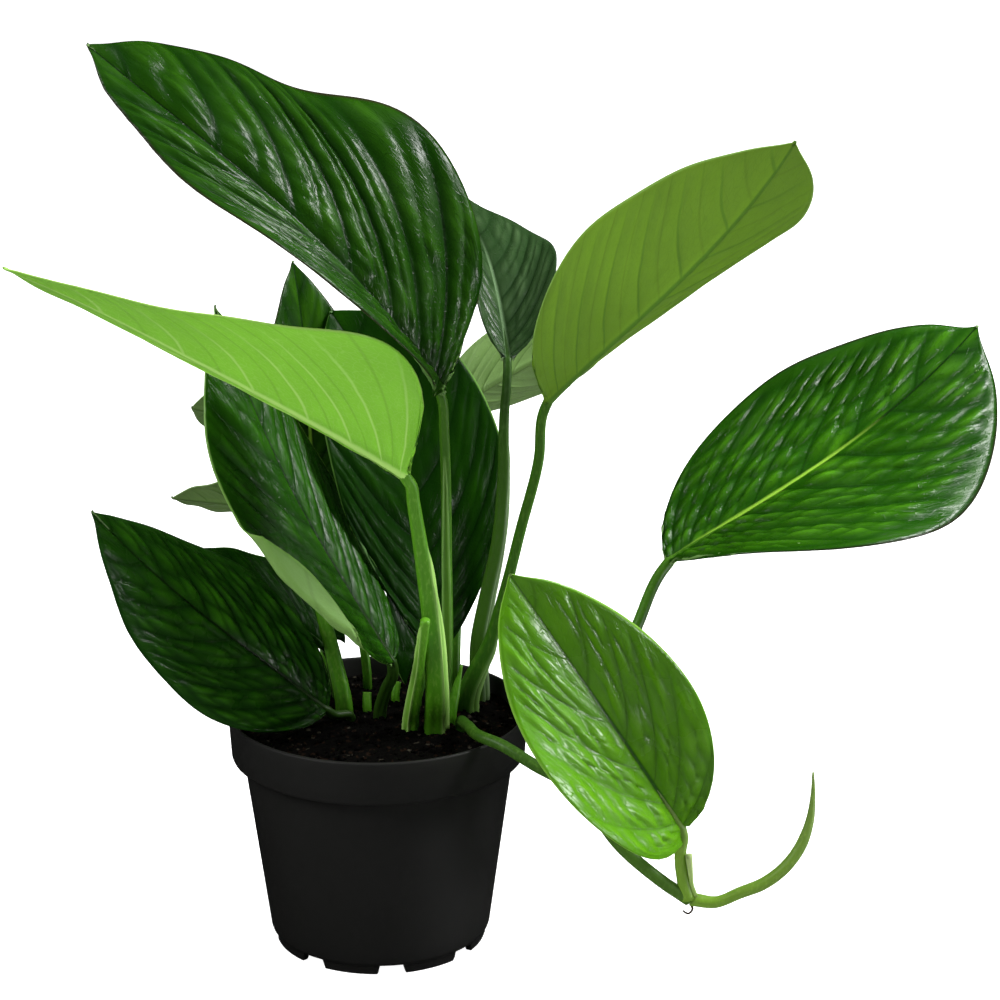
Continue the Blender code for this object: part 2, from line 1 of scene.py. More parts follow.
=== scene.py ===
"""Looks of the potted monstera: fine leaves, stalks, runner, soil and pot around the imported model.

Sizes and places are in millimetres from the pot's base centre, +Z up and +X to the right, and
angles are in degrees, unless a name says otherwise. A mesh gets metres in the model's own frame.
"""

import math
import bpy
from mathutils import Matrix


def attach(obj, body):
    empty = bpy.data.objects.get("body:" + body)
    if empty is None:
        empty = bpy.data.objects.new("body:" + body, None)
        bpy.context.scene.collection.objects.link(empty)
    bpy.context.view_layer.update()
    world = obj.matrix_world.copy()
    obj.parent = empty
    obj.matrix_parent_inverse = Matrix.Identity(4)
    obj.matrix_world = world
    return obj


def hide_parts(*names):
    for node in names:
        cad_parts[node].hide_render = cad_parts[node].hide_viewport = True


bl_info = {
    "name": "Potted Monstera Looks",
    "version": (1, 0, 0),
    "blender": (4, 5, 0),
    "location": "View3D > Sidebar > Monstera",
    "description": "Builds the quilted leaves, stalks, runner, soil and nursery pot of a young monstera",
    "category": "Add Mesh",
}

from dataclasses import dataclass

import bmesh
import bpy
import numpy as np
from bpy.props import FloatProperty, FloatVectorProperty, IntProperty, PointerProperty
from bpy.types import Operator, Panel, PropertyGroup
from mathutils import Vector

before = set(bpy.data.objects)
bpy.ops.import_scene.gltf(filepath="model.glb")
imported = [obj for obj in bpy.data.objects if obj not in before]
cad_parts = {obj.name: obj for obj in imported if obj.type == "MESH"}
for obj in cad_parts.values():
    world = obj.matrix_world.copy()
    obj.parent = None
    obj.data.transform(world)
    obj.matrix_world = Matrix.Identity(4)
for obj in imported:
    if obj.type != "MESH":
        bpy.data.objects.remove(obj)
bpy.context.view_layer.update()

MM = 0.001
POT_AT = (-60.1, -12.2)

# Pot, as the solid model has it
POT_HEIGHT = 97.0
RIM_RADIUS = 60.0
BAND_FOOT = 79.0
BAND_RADIUS = 59.0
BODY_TOP_RADIUS = 54.4
BODY_FOOT_RADIUS = 44.6
WALL = 1.3
LIP = 1.7
FOOT_RADIUS = 43.0
FOOT_WIDTH = 3.0
FOOT_HEIGHT = 4.4
FLOOR = 1.4
NOTCHES = 8
NOTCH_WIDTH = 10.0
NOTCH_START = -82.0
DRAIN_RADIUS = 3.0
DRAIN_RING = 33.0

# Soil
SOIL_EDGE = 89.5
SOIL_MOUND = 2.5
SOIL_LUMPS = 0.5
SOCKET_DEPTH = 14.0
SOIL_GAP = 0.3
SOIL_RADIUS = BAND_RADIUS - WALL - SOIL_GAP

# Leaves. A span below 1 is a share of the leaf's length, or of its half width
FLAP_TURN = 165.0
FLAP_BEND = 3.0
BASE_HALF_WIDTH = 1.8
BASE_ROUNDING = 8
MARGIN_WAVES = 3
WAIST_SPAN = 0.13
DRIP_SPAN = 0.045
NECK_SPAN = 0.05
ROW_LEAD = 0.16
ROW_SWEEP = 1.6
ROW_TRIES = 60
CUP_START = 0.4
CUP_GROWTH = 1.2
WAVE_PHASES = (0.6, 2.1)
SKIN_STEPS = 32
STATIONS = 24
NOISE_CELLS = 64
STALK_GAP = 0.6
STALK_DROP = 1.1
STRAIGHT_FOOT = 3.0

# Side veins and the relief between them. A beat is the step from one side vein to the next
LEAST_VEINS = 8
ROW_CROWDING = 1.6
COLUMN_CROWDING = 1.2
LEAD_START = 0.03
VEIN_SLANT = 0.55
VEIN_CURL = 0.45
VEIN_CURL_POWER = 2.4
VEIN_CROWDING = 0.5
RIGHT_SIDE_LAG = 0.4
CALM_MIDRIB = 6.0
CALM_MARGIN = 0.14
FULL_RELIEF = 14.0
DOME_POWER = 0.6
PUCKER_POWER = 0.8
PUCKER_DEPTH = 0.8
VALLEY_SPAN = 0.3
COLLECTOR = 0.9
COLLECTOR_SPAN = 0.02
GROOVE_SPAN = 1.2
# Painted light and shade: the brightness scale goes from the left side's to the right side's over this share
# of the half width at the midrib
PAINTED_LIGHT_SPAN = 0.06
# Noises over a leaf: how often one goes up and down in a beat, its length across, and where it starts
BENDING = (1.3, 8.0, 5.0, 24.0)
CELLS = (2.3, 5.0, 7.0, 20.0)
FINE_CELLS = (4.1, 2.8, 3.0, 30.0)


@dataclass
class Leaf:
    """One leaf blade: its midrib starts at base and is bent along its length, and its sides are cupped.

    Heading, rise and roll turn its start. A cup is a side's angle at the base and at the tip, a waist
    its depth and place, and a pair of lobes is the left one and the right one. Puff scales the height
    of the skin between veins, pucker is how far it is cut across, split how deep its valley is half
    way, and lead scales how far ahead the veins meet the margin. The painted light is a pair of
    brightness scales for the left and the right side: painted light and shade for how the lamps fall
    on each half. Drip and neck draw the width in at the tip and at the base.
    """

    name: str
    base: tuple
    heading: float
    rise: float
    roll: float
    length: float
    width: float
    skew: float = 0.0
    bend: tuple = (10.0, 10.0, 10.0)
    swerve: tuple = (0.0, 0.0)
    twist: float = 0.0
    cup_left: tuple = (15.0, 15.0)
    cup_right: tuple = (15.0, 15.0)
    fullness: float = 0.6
    taper: float = 0.95
    waist_left: tuple = (0.0, 0.5)
    waist_right: tuple = (0.0, 0.5)
    veins: int = 8
    lobe_back: tuple = (0.0, 0.0)
    lobe_out: tuple = (0.0, 0.0)
    flap: float = 0.0
    flap_span: tuple = (0.0, 0.5)
    wave: float = 0.8
    puff: float = 1.0
    pucker: float = 0.5
    split: float = 0.4
    lead: float = 1.0
    # Painted light and shade: brightness scales of the left and the right side
    tone: tuple = (1.0, 1.0)
    drip: float = 0.3
    neck: float = 0.0
    finish: str = "dark"


@dataclass
class Stem:
    """A leaf stalk, sheath or shoot: a round tapering body along a smooth curve through its points.

    One with a foot starts in its hole in the soil, and one with a leaf runs on under that leaf's midrib.
    A sheath is the share of the stalk it reaches, the way it opens and half its opening, in degrees.
    """

    name: str
    points: tuple
    radii: tuple
    foot: tuple = None
    leaf: str = ""
    finish: str = "stalk"
    gap: float = STALK_GAP
    sheath: tuple = ()


LEAVES = (
    Leaf("blade_upper_left", (27, -30, 236), 219, 58, -59, 189, 106, skew=0.27, bend=(51, 47, -11),
         swerve=(1, 6), twist=-33, cup_left=(55, 37), cup_right=(36, -54), fullness=0.62,
         taper=0.78, waist_left=(0.18, 0.85), waist_right=(0.15, 0.65), wave=1.6,
         puff=2.1, pucker=0.3, lead=1.15, tone=(1.15, 1.0), drip=0.5, neck=0.8,
         finish="dusky"),
    Leaf("blade_left_pale", (13, -38, 206), 193, 35, 47, 179, 91, skew=-0.09, bend=(28, 4, 31),
         swerve=(-12, -3), twist=-10, cup_left=(31, -34), cup_right=(52, 25), fullness=0.57,
         taper=1.1, waist_left=(0.12, 0.5), puff=0.6, pucker=0.2, neck=0.5, finish="lime"),
    Leaf("blade_centre", (7, -14, 122), 171, 60, -9, 157, 79, skew=-0.09, bend=(16, -27, 5),
         swerve=(4, 7), twist=-14, cup_left=(17, -27), cup_right=(-6, -13), fullness=0.62,
         taper=0.94, flap=11, flap_span=(0.03, 0.39), puff=0.9, pucker=0.4,
         drip=0.6, finish="deep"),
    Leaf("blade_centre_back", (19.5, 17, 112), 114, 82, 2, 148, 76, skew=0.17,
         bend=(-14, 42, 46), swerve=(-9, -34), twist=4, cup_left=(1, 9), cup_right=(-4, 19),
         fullness=0.84, taper=0.69, waist_left=(0.38, 0.24), lobe_back=(10, 2), lobe_out=(9, 1),
         veins=7, puff=0.8, pucker=0.3, finish="shaded"),
    Leaf("blade_young_top", (-27, 32, 166), 88, 88, 38, 105, 53, bend=(7, 16, 28),
         swerve=(3, -4), twist=3, cup_left=(12, 15), cup_right=(12, 16), fullness=0.6,
         taper=0.92, veins=6, puff=0.8, pucker=0.3, tone=(0.55, 0.55), finish="mid"),
    Leaf("blade_back", (52, 30, 234), 96, 35, 9, 116, 59, skew=-0.06, bend=(17, 27, 28),
         swerve=(-6, -8), twist=25, cup_left=(55, 16), cup_right=(60, -2), fullness=0.66,
         taper=0.92, veins=7, puff=0.8, pucker=0.4, finish="painted_sheen"),
    Leaf("blade_upper_right", (67, 0, 225), -19, 45, -28, 163, 83, bend=(25, 8, 12),
         swerve=(24, 32), twist=-35, cup_left=(43, 20), cup_right=(21, 18), fullness=0.68,
         taper=0.87, puff=0.5, pucker=0.2, neck=0.4, finish="olive"),
    Leaf("blade_back_pale", (28, 53, 206), 36, 22, -78, 90, 50, skew=-0.2, bend=(21, 22, 25),
         swerve=(-1, 3), twist=-16, cup_left=(40, 8), cup_right=(33, 15), fullness=0.57,
         taper=0.97, veins=6, puff=0.5, pucker=0.2, finish="grey"),
    Leaf("blade_right", (114, -20, 166), 21, 28, -1, 161, 99, skew=0.18, bend=(22, -17, 11),
         swerve=(0, -34), twist=49, cup_left=(41, 16), cup_right=(16, -25), fullness=0.64,
         taper=0.76, puff=1.6, pucker=1.0, split=0.5, lead=1.15, tone=(1.2, 1.0), drip=0.6,
         finish="mid"),
    Leaf("blade_runner", (119, -62, 71), 220, 56, -99, 139, 70, skew=-0.05, bend=(15, 7, 21),
         swerve=(-2, 1), twist=-16, cup_left=(37, 6), cup_right=(19, 3), fullness=0.61,
         taper=0.77, veins=6, lobe_back=(5, 1), lobe_out=(2, 1), puff=1.1,
         pucker=1.0, split=0.15, lead=1.25, tone=(1.12, 0.78), finish="fresh"),
    Leaf("blade_lower_left", (-20, -7, 99), 205, 44, -58, 135, 66, skew=-0.04, bend=(10, -15, -8),
         swerve=(-8, 17), twist=15, cup_left=(-5, -27), cup_right=(9, -21), fullness=0.71,
         taper=0.92, puff=1.2, pucker=0.9, tone=(1.7, 1.7), finish="dark"),
    Leaf("blade_low_back", (-22, 30, 112), 198, 48, -20, 72, 44, bend=(10, 20, 20), lobe_back=(0, 9),
         lobe_out=(0, 9), veins=6, puff=0.8, pucker=0.4, finish="shaded"),
    Leaf("blade_back_left", (-38, 52, 163.5), 180, 9, 50, 48, 27, bend=(5, 5, 5), taper=0.8,
         veins=6, puff=0.4, pucker=0.2, finish="grey"),
    Leaf("blade_back_left_high", (-32, 54, 195.5), 180, 16, 65, 46, 34, bend=(5, 5, 5), taper=0.6,
         veins=6, puff=0.4, pucker=0.2, finish="grey"),
)
LEAF_OF_NAME = {leaf.name: leaf for leaf in LEAVES}

STALKS = (
    Stem("stalk_upper_left", ((28, -4, 127), (28, -14, 164), (28, -23, 199), (27.5, -27, 221)),
         (2.3, 1.9), foot=(27, 6), leaf="blade_upper_left", sheath=(0.66, 82, 42)),
    Stem("stalk_left_pale", ((23.5, -17, 108), (22, -25, 143), (20, -29, 161), (18, -33, 178),
                             (15.8, -36.5, 195)),
         (4.6, 2.3), foot=(23, -11), leaf="blade_left_pale", finish="pale", sheath=(0.56, 160, 22)),
    Stem("stalk_centre", ((3.5, -6, 107),), (2.7, 2.2), foot=(0.5, 0), leaf="blade_centre", finish="shade"),
    Stem("stalk_centre_back", ((16.5, 16, 101),), (2.4, 2.0), foot=(14.5, 16), leaf="blade_centre_back"),
    Stem("stalk_young_top", ((-18, 14, 112), (-23, 21, 130), (-27, 28, 150)),
         (3.6, 1.9), foot=(-14, 7), leaf="blade_young_top", finish="pale"),
    Stem("stalk_back", ((40, 26, 116), (43, 27, 133), (48, 28, 158), (50, 29, 183), (50.5, 30, 210)),
         (3.6, 1.7), foot=(40, 27), leaf="blade_back", finish="dark", sheath=(0.6, 155, 24)),
    Stem("stalk_upper_right", ((45, 13, 121), (51, 9, 144), (57, 6, 170), (64, 3, 200)),
         (4.6, 2.6, 2.2, 2.1, 2.0), foot=(35, 13), leaf="blade_upper_right", sheath=(0.2, 150, 34)),
    Stem("stalk_back_pale", ((31, 46, 128), (33, 55, 170)), (2.4, 1.8), foot=(30, 40),
         leaf="blade_back_pale"),
    Stem("stalk_lower_left", (), (2.0, 1.9), foot=(-11, 0), leaf="blade_lower_left", finish="shade"),
    Stem("stalk_low_back", ((-20, 28, 102),), (1.9, 1.8), foot=(-18, 25), leaf="blade_low_back",
         finish="shade"),
    Stem("stalk_back_left", ((-26, 49, 120), (-30, 52, 142)), (1.9, 1.7), foot=(-23, 40),
         leaf="blade_back_left", finish="pale"),
    Stem("stalk_back_left_high", ((-12, 44, 130), (-22, 50, 165)), (1.9, 1.7), foot=(-6, 38),
         leaf="blade_back_left_high", finish="pale"),
    Stem("sheathed_stalk", ((14.5, -16, 104), (16.5, -22, 118), (19, -31, 138), (20, -34, 146)),
         (3.3, 2.6, 2.0, 1.9), foot=(13.5, -11), finish="pale", sheath=(0.97, 35, 30)),
    Stem("pointed_sheath", ((30, -1, 98), (33.5, 3, 114)), (1.8, 2.0, 0.4), foot=(29.5, -2), finish="pale"),
    Stem("cut_stub_left", ((-5, 12, 99),), (1.9, 1.7), foot=(-5, 10), finish="pale"),
    Stem("cut_stub_right", ((7, 24, 99),), (1.8, 1.5), foot=(6, 22), finish="pale"),
)

RUNNER_RADIUS = 2.8
RUNNER_TAPER = (0.78, 0.92)
RUNNER_FOOT = (33, -10)
RUNNER_POINTS = (
    (36, -24, 98.5), (41, -42, 101.2), (49, -48.5, 100.3), (62, -55, 94.5),
    (76, -58, 87), (85, -60, 77), (95, -62, 64), (107, -63, 53), (116, -63, 46), (122, -62, 42),
)
NODE_ONE = (76, -58, 87)
NODE_TWO = (122, -62, 42)
NODE_SWELL = 0.5
NODE_SPAN = 4.0

RUNNER_PIECES = (
    Stem("stalk_right", ((77.4, -57.3, 91.0), (83, -53, 102), (92, -45, 121), (102, -35, 145)),
         (2.4, 2.2), leaf="blade_right"),
    Stem("stalk_runner", ((121.5, -63.0, 42.0), (119.6, -62.4, 50), (118.4, -61.2, 61.5)), (2.9, 2.4, 2.0),
         leaf="blade_runner", finish="shoot", gap=0.9),
    Stem("growing_shoot", ((122.5, -62, 41.6), (132.4, -62, 40.3), (141.6, -62, 44.2), (150.6, -61, 47.6),
                           (158, -60, 53), (164.4, -58, 61), (168, -56, 70), (169.6, -53, 81),
                           (169.7, -50, 89.5)),
         (2.7, 2.2, 2.4, 2.4, 2.2, 1.3, 0.4), finish="shoot"),
    Stem("cut_sheath", ((124.6, -63.8, 43.5), (123.0, -64.2, 48), (122.0, -64.0, 55), (121.4, -63.8, 61.0)),
         (0.8, 0.7, 1.1, 1.4), finish="sheath"),
    Stem("air_root", ((122.6, -62.1, 39.5), (123.4, -62, 37.4), (121.8, -62, 35.4), (119.6, -62, 36.6)),
         (0.5, 0.35), finish="root"),
)

# Colours are linear: upper face, its raised puckers (lighter, a painted highlight), its midrib, underside,
# veins below and the margin
LEAF_FINISHES = {
    "dusky": ((0.004, 0.026, 0.001), (0.026, 0.100, 0.003), (0.006, 0.030, 0.003), (0.13, 0.27, 0.06),
              (0.20, 0.36, 0.12), (0.020, 0.012, 0.008)),
    "deep": ((0.006, 0.038, 0.001), (0.032, 0.140, 0.004), (0.003, 0.016, 0.002), (0.16, 0.30, 0.07),
             (0.22, 0.38, 0.13), (0.20, 0.38, 0.08)),
    "dark": ((0.003, 0.022, 0.001), (0.022, 0.100, 0.002), (0.002, 0.012, 0.001), (0.13, 0.27, 0.06),
             (0.20, 0.36, 0.12), (0.006, 0.030, 0.003)),
    "shaded": ((0.003, 0.020, 0.001), (0.009, 0.048, 0.001), (0.004, 0.020, 0.002), (0.08, 0.17, 0.05),
               (0.15, 0.28, 0.10), (0.14, 0.30, 0.06)),
    # Painted sheen: a dark green skin greyed and blued as a painted reflection of the lamps on the back
    # leaf's waxy upper face
    "painted_sheen": ((0.014, 0.038, 0.010), (0.055, 0.105, 0.038), (0.10, 0.17, 0.08), (0.16, 0.25, 0.10),
              (0.22, 0.34, 0.15), (0.03, 0.05, 0.03)),
    "mid": ((0.007, 0.048, 0.001), (0.062, 0.225, 0.005), (0.24, 0.46, 0.04), (0.16, 0.30, 0.08),
            (0.24, 0.40, 0.14), (0.020, 0.014, 0.010)),
    "fresh": ((0.070, 0.230, 0.002), (0.120, 0.340, 0.004), (0.020, 0.090, 0.003), (0.20, 0.38, 0.06),
              (0.30, 0.50, 0.12), (0.22, 0.46, 0.05)),
    "lime": ((0.03, 0.12, 0.01), (0.06, 0.20, 0.02), (0.10, 0.25, 0.04), (0.27, 0.68, 0.045),
             (0.50, 0.82, 0.20), (0.40, 0.68, 0.14)),
    "olive": ((0.02, 0.09, 0.01), (0.04, 0.14, 0.02), (0.06, 0.16, 0.02), (0.17, 0.34, 0.020),
              (0.08, 0.21, 0.015), (0.24, 0.42, 0.09)),
    "grey": ((0.02, 0.08, 0.02), (0.04, 0.12, 0.03), (0.10, 0.16, 0.08), (0.15, 0.26, 0.07),
             (0.08, 0.15, 0.03), (0.22, 0.34, 0.12)),
}
LEAF_GLOSS = {"fresh": 0.3, "mid": 0.18, "dark": 0.22, "deep": 0.14, "shaded": 0.04, "dusky": 0.13}
PLAIN_GLOSS = 0.18
LEAF_SLOTS = {"dusky": "leaf_dark", "deep": "leaf_dark", "dark": "leaf_dark", "shaded": "leaf_dark",
              "painted_sheen": "leaf_dark", "mid": "leaf_mid", "fresh": "leaf_bright", "lime": "leaf_pale",
              "olive": "leaf_bright", "grey": "leaf_pale"}
# Foot colour, top colour and speckle colour of a stem
STEM_FINISHES = {
    "stalk": ((0.040, 0.15, 0.006), (0.060, 0.17, 0.010), (0.13, 0.28, 0.03)),
    "pale": ((0.065, 0.24, 0.006), (0.110, 0.32, 0.016), (0.22, 0.46, 0.06)),
    "dark": ((0.060, 0.17, 0.010), (0.006, 0.020, 0.006), (0.06, 0.12, 0.03)),
    "runner": ((0.018, 0.065, 0.004), (0.06, 0.15, 0.010), (0.10, 0.21, 0.03)),
    "shade": ((0.020, 0.060, 0.004), (0.008, 0.030, 0.002), (0.03, 0.08, 0.01)),
    "shoot": ((0.15, 0.30, 0.02), (0.12, 0.19, 0.04), (0.24, 0.38, 0.06)),
    "sheath": ((0.22, 0.38, 0.06), (0.40, 0.52, 0.20), (0.50, 0.62, 0.30)),
    "root": ((0.05, 0.025, 0.012), (0.02, 0.010, 0.006), (0.09, 0.05, 0.03)),
}
STEM_SLOTS = {"stalk": "stalk", "dark": "stalk", "shade": "stalk", "pale": "stalk_pale", "runner": "stalk",
              "shoot": "stalk_pale", "sheath": "stalk_pale", "root": "root"}
# Stems of these finishes get painted shade at the foot: they darken over this share of their length where
# they stand in the soil
PAINTED_FOOT_SHADE_STEMS = ("stalk", "pale", "dark", "shade")
PAINTED_FOOT_SHADE_SHARE = 1.0 / 9.0
REDDISH_GRAIN = (0.012, 0.006, 0.003)
GREY_GRAIN = (0.04, 0.035, 0.025)
# Fine lines on a leaf, in beats, and the net between them: its units to a beat and millimetres to a unit
VEIN_WOBBLE = 0.10
VEIN_LINE = 0.012
BETWEEN_LINE = 0.01
LINE_SOFTNESS = 0.03
NET_BEAT = 1.4
NET_LENGTH = 9.0
NET_JITTER = 0.12
NET_SCALE = 6.0
NET_LINE = 0.07

# Stage. A lamp has its place and its side in metres and its share of the key's power
LAMPS = {
    "key": ((1.15, 0.08, 1.1), 0.5, 1.0),
    "low": ((0.92, -0.39, 0.09), 0.18, 0.15),
    "left": ((-1.15, -0.8, 1.15), 0.6, 0.5),
    "back": ((0.3, 1.4, 1.1), 1.2, 0.5),
    "top": ((0.0, 0.0, 1.8), 0.9, 0.5),
}
LAMPS_IN_REFLECTIONS = ("key", "low", "left")
LAMPS_AIM_M = (0.0, 0.0, 0.18)
CAMERA_AT = (48.8, -1150.0, 540.0)
CAMERA_TILT = 17.2
LENS = 110.4
SENSOR = 36.0


# Shared formulas

def bell(offset, span):
    """1 where the offset is 0, falling off smoothly to either side over the span."""
    return np.exp(-(offset / span)**2)


def rising(value, span):
    """0 up to 0, then straight up to 1 at the span, and 1 from there on."""
    return np.clip(value / span, 0.0, 1.0)


def eased(t):
    return t * t * (3.0 - 2.0 * t)


def cubic(first, last, leaving, arriving, length, t):
    """The smooth way from one value to the next over a length, with the given slopes at its ends."""
    return (first * (1 - t)**2 * (1 + 2 * t) + last * t**2 * (3 - 2 * t)
            + length * (leaving * t * (1 - t)**2 - arriving * t**2 * (1 - t)))


def angle_from(turn, centre):
    """The angle from the centre to each turn, from minus half a turn to half a turn."""
    return np.mod(turn - centre + math.pi, 2 * math.pi) - math.pi


# Leaf shape

def start_frame(leaf):
    """Directions at the midrib's start, as columns: along it, out of the upper face, and to its right."""
    h, r, o = (math.radians(a) for a in (leaf.heading, leaf.rise, leaf.roll))
    along = np.array([math.cos(r) * math.cos(h), math.cos(r) * math.sin(h), math.sin(r)])
    up = np.array([-math.sin(r) * math.cos(h), -math.sin(r) * math.sin(h), math.cos(r)])
    right = np.array([math.sin(h), -math.cos(h), 0.0])
    return np.stack([along, math.cos(o) * up + math.sin(o) * right,
                     math.cos(o) * right - math.sin(o) * up], 1)


def small_turns(angle, first, second):
    """Rotations by each angle in the plane of two of a frame's own directions, as a stack of matrices."""
    turns = np.tile(np.eye(3), (len(angle), 1, 1))
    turns[:, first, first] = np.cos(angle)
    turns[:, second, second] = np.cos(angle)
    turns[:, second, first] = np.sin(angle)
    turns[:, first, second] = -np.sin(angle)
    return turns


def midrib(leaf):
    """Places and frames along the midrib: the frame is bent, swerved and twisted in equal steps."""
    share = (np.arange(STATIONS) + 0.5) / STATIONS
    bend = np.radians(np.interp(share, (0.0, 0.5, 1.0), leaf.bend)) / STATIONS
    swerve = np.radians(np.interp(share, (0.0, 1.0), leaf.swerve)) / STATIONS
    twist = np.full(STATIONS, math.radians(leaf.twist) / STATIONS)
    steps = small_turns(-bend, 0, 1) @ small_turns(swerve, 0, 2) @ small_turns(twist, 1, 2)
    frames = [start_frame(leaf)]
    for step in steps:
        frames.append(frames[-1] @ step)
    frames = np.array(frames)
    along = frames[:, :, 0]
    moves = (along[1:] + along[:-1]) / 2 * leaf.length / STATIONS
    places = np.array(leaf.base, float) + np.concatenate([np.zeros((1, 3)), np.cumsum(moves, 0)])
    return np.linspace(0.0, 1.0, STATIONS + 1), places, frames


def soft_interp(wanted, known, values):
    """Smooth values between the known stations: cubics whose slopes are the mean of their neighbours'."""
    step = known[1] - known[0]
    slope = np.gradient(values, step, axis=0)
    place = np.clip(wanted / step, 0.0, len(known) - 1.000001)
    i = place.astype(int)
    return cubic(values[i], values[i + 1], slope[i], slope[i + 1], step, (place - i)[..., None])


def half_width(leaf, share):
    """Half the leaf's width: narrow at the stalk, t**fullness * (1-t)**taper scaled to its full width."""
    t = np.clip(share, 0.0, 1.0)
    widest = leaf.fullness / (leaf.fullness + leaf.taper)
    peak = widest**leaf.fullness * (1.0 - widest)**leaf.taper
    bulge = t**leaf.fullness * (1.0 - t)**leaf.taper / peak
    return BASE_HALF_WIDTH * (1.0 - t) + (leaf.width / 2 - BASE_HALF_WIDTH) * bulge


def margin_of(row):
    """Where a plain row that leaves the midrib at a share meets the margin."""
    return row + ROW_LEAD * 4.0 * row * (1.0 - row)


def row_at_margin(margin):
    """The plain row that meets the margin at a share: the root of margin_of."""
    b = 1.0 + 4.0 * ROW_LEAD
    return (b - np.sqrt(np.maximum(b * b - 16.0 * ROW_LEAD * margin, 0.0))) / (8.0 * ROW_LEAD)


def near_base(row):
    return (1.0 - np.clip(row, 0.0, 1.0))**BASE_ROUNDING


def flap_of(leaf, row, left):
    low, high = leaf.flap_span
    return left * leaf.flap * np.sin(math.pi * rising(row - low, high - low))**2


def full_reach(leaf, row, left):
    """How far the skin goes out from the midrib on a plain row, with the lobe and the turned flap.

    The width is drawn in by a bell at the waist, another at the drip tip and one at the neck.
    """
    lobe = np.where(left, *leaf.lobe_out) * near_base(row)
    margin = margin_of(row)
    depth = np.where(left, leaf.waist_left[0], leaf.waist_right[0])
    place = np.where(left, leaf.waist_left[1], leaf.waist_right[1])
    waist = 1.0 - depth * bell(margin - place, WAIST_SPAN)
    tip = 1.0 - leaf.drip * bell(1.0 - margin, DRIP_SPAN)
    neck = 1.0 - leaf.neck * bell(margin, NECK_SPAN)
    half = half_width(leaf, margin) * (1.0 + np.where(left, -leaf.skew, leaf.skew)) * waist * (tip * neck)
    return half + lobe + flap_of(leaf, row, left)


def plain_row(leaf, reach, across, left):
    """The plain row through a point of the skin, by repeated damped steps."""
    row = np.clip(reach, 0.0, 1.0)
    back = np.where(left, *leaf.lobe_back) / leaf.length
    for _ in range(ROW_TRIES):
        v = rising(across, np.maximum(full_reach(leaf, row, left), 0.05))
        lean = (margin_of(row) - row) * v**ROW_SWEEP - back * near_base(row) * v**3
        row = np.clip(0.6 * row + 0.4 * (reach - lean), 0.0, 1.0)
    return row


def skin(leaf, reach, across, left):
    """Points of the smooth upper face at a share of the length and a distance out from the midrib.

    Going out from the midrib the skin climbs at an angle that grows from 0.4 to 1.6 of the side's
    cup, which also changes along the leaf. Where a flap goes past the margin the angle adds the
    flap's turn. The sum of the small steps out and up gives the place in the midrib's frame there.
    """
    row = plain_row(leaf, reach, across, left)
    k = (np.arange(SKIN_STEPS) + 0.5) / SKIN_STEPS
    a = across[..., None] * k
    there = row[..., None] + (reach - row)[..., None] * k**ROW_SWEEP
    first = np.where(left, leaf.cup_left[0], leaf.cup_right[0])[..., None]
    last = np.where(left, leaf.cup_left[1], leaf.cup_right[1])[..., None]
    angle = np.radians(first + (last - first) * there) * (CUP_START + CUP_GROWTH * a / (leaf.width / 2))
    extra = flap_of(leaf, row, left)[..., None]
    half = full_reach(leaf, row, left)[..., None] - extra
    fold = rising(a - half + FLAP_BEND, 2.0 * FLAP_BEND)
    angle = angle + math.radians(FLAP_TURN) * fold * np.minimum(1.0, extra / FLAP_BEND)
    out = np.cos(angle).mean(-1) * across
    lift = np.sin(angle).mean(-1) * across
    v = across / np.maximum(full_reach(leaf, row, left), 0.05)
    phase = np.where(left, *WAVE_PHASES)
    wave = leaf.wave * v**2 * np.sin(MARGIN_WAVES * 2.0 * math.pi * row + phase)
    lift = lift + wave * half[..., 0] / (leaf.width / 2)
    station, places, frames = midrib(leaf)
    centre = soft_interp(reach, station, places)
    centre = centre + frames[0, :, 0] * (np.minimum(reach, 0.0) * leaf.length)[..., None]
    up, right = (soft_interp(reach, station, frames[:, :, axis]) for axis in (1, 2))
    side = np.where(left, -1.0, 1.0)
    return centre + right * (side * out)[..., None] + up * lift[..., None]


def soft_noise(x, y, seed):
    """Smooth random heights from -1 to 1: seeded values on whole numbers with a smooth step between."""
    values = np.random.default_rng(seed).uniform(-1.0, 1.0, (NOISE_CELLS, NOISE_CELLS))
    i, j = np.floor(x).astype(int), np.floor(y).astype(int)
    fx, fy = eased(x - i), eased(y - j)
    i, j, i1, j1 = (place % NOISE_CELLS for place in (i, j, i + 1, j + 1))
    low = values[i, j] * (1 - fx) + values[i1, j] * fx
    high = values[i, j1] * (1 - fx) + values[i1, j1] * fx
    return low * (1 - fy) + high * fy


def leaf_noise(kind, beat, out, seed):
    """One of the noises over a leaf, at a beat and a distance out that is negative at the left."""
    often, length, start, side = kind
    return soft_noise(beat * often + start, out / length + side, seed)


def surface_normals(grid):
    """Unit normals out of a leaf's upper face: its differences from left to right by those forwards."""
    normal = np.cross(np.gradient(grid, axis=1), np.gradient(grid, axis=0))
    return normal / np.maximum(np.linalg.norm(normal, axis=-1, keepdims=True), 1e-9)


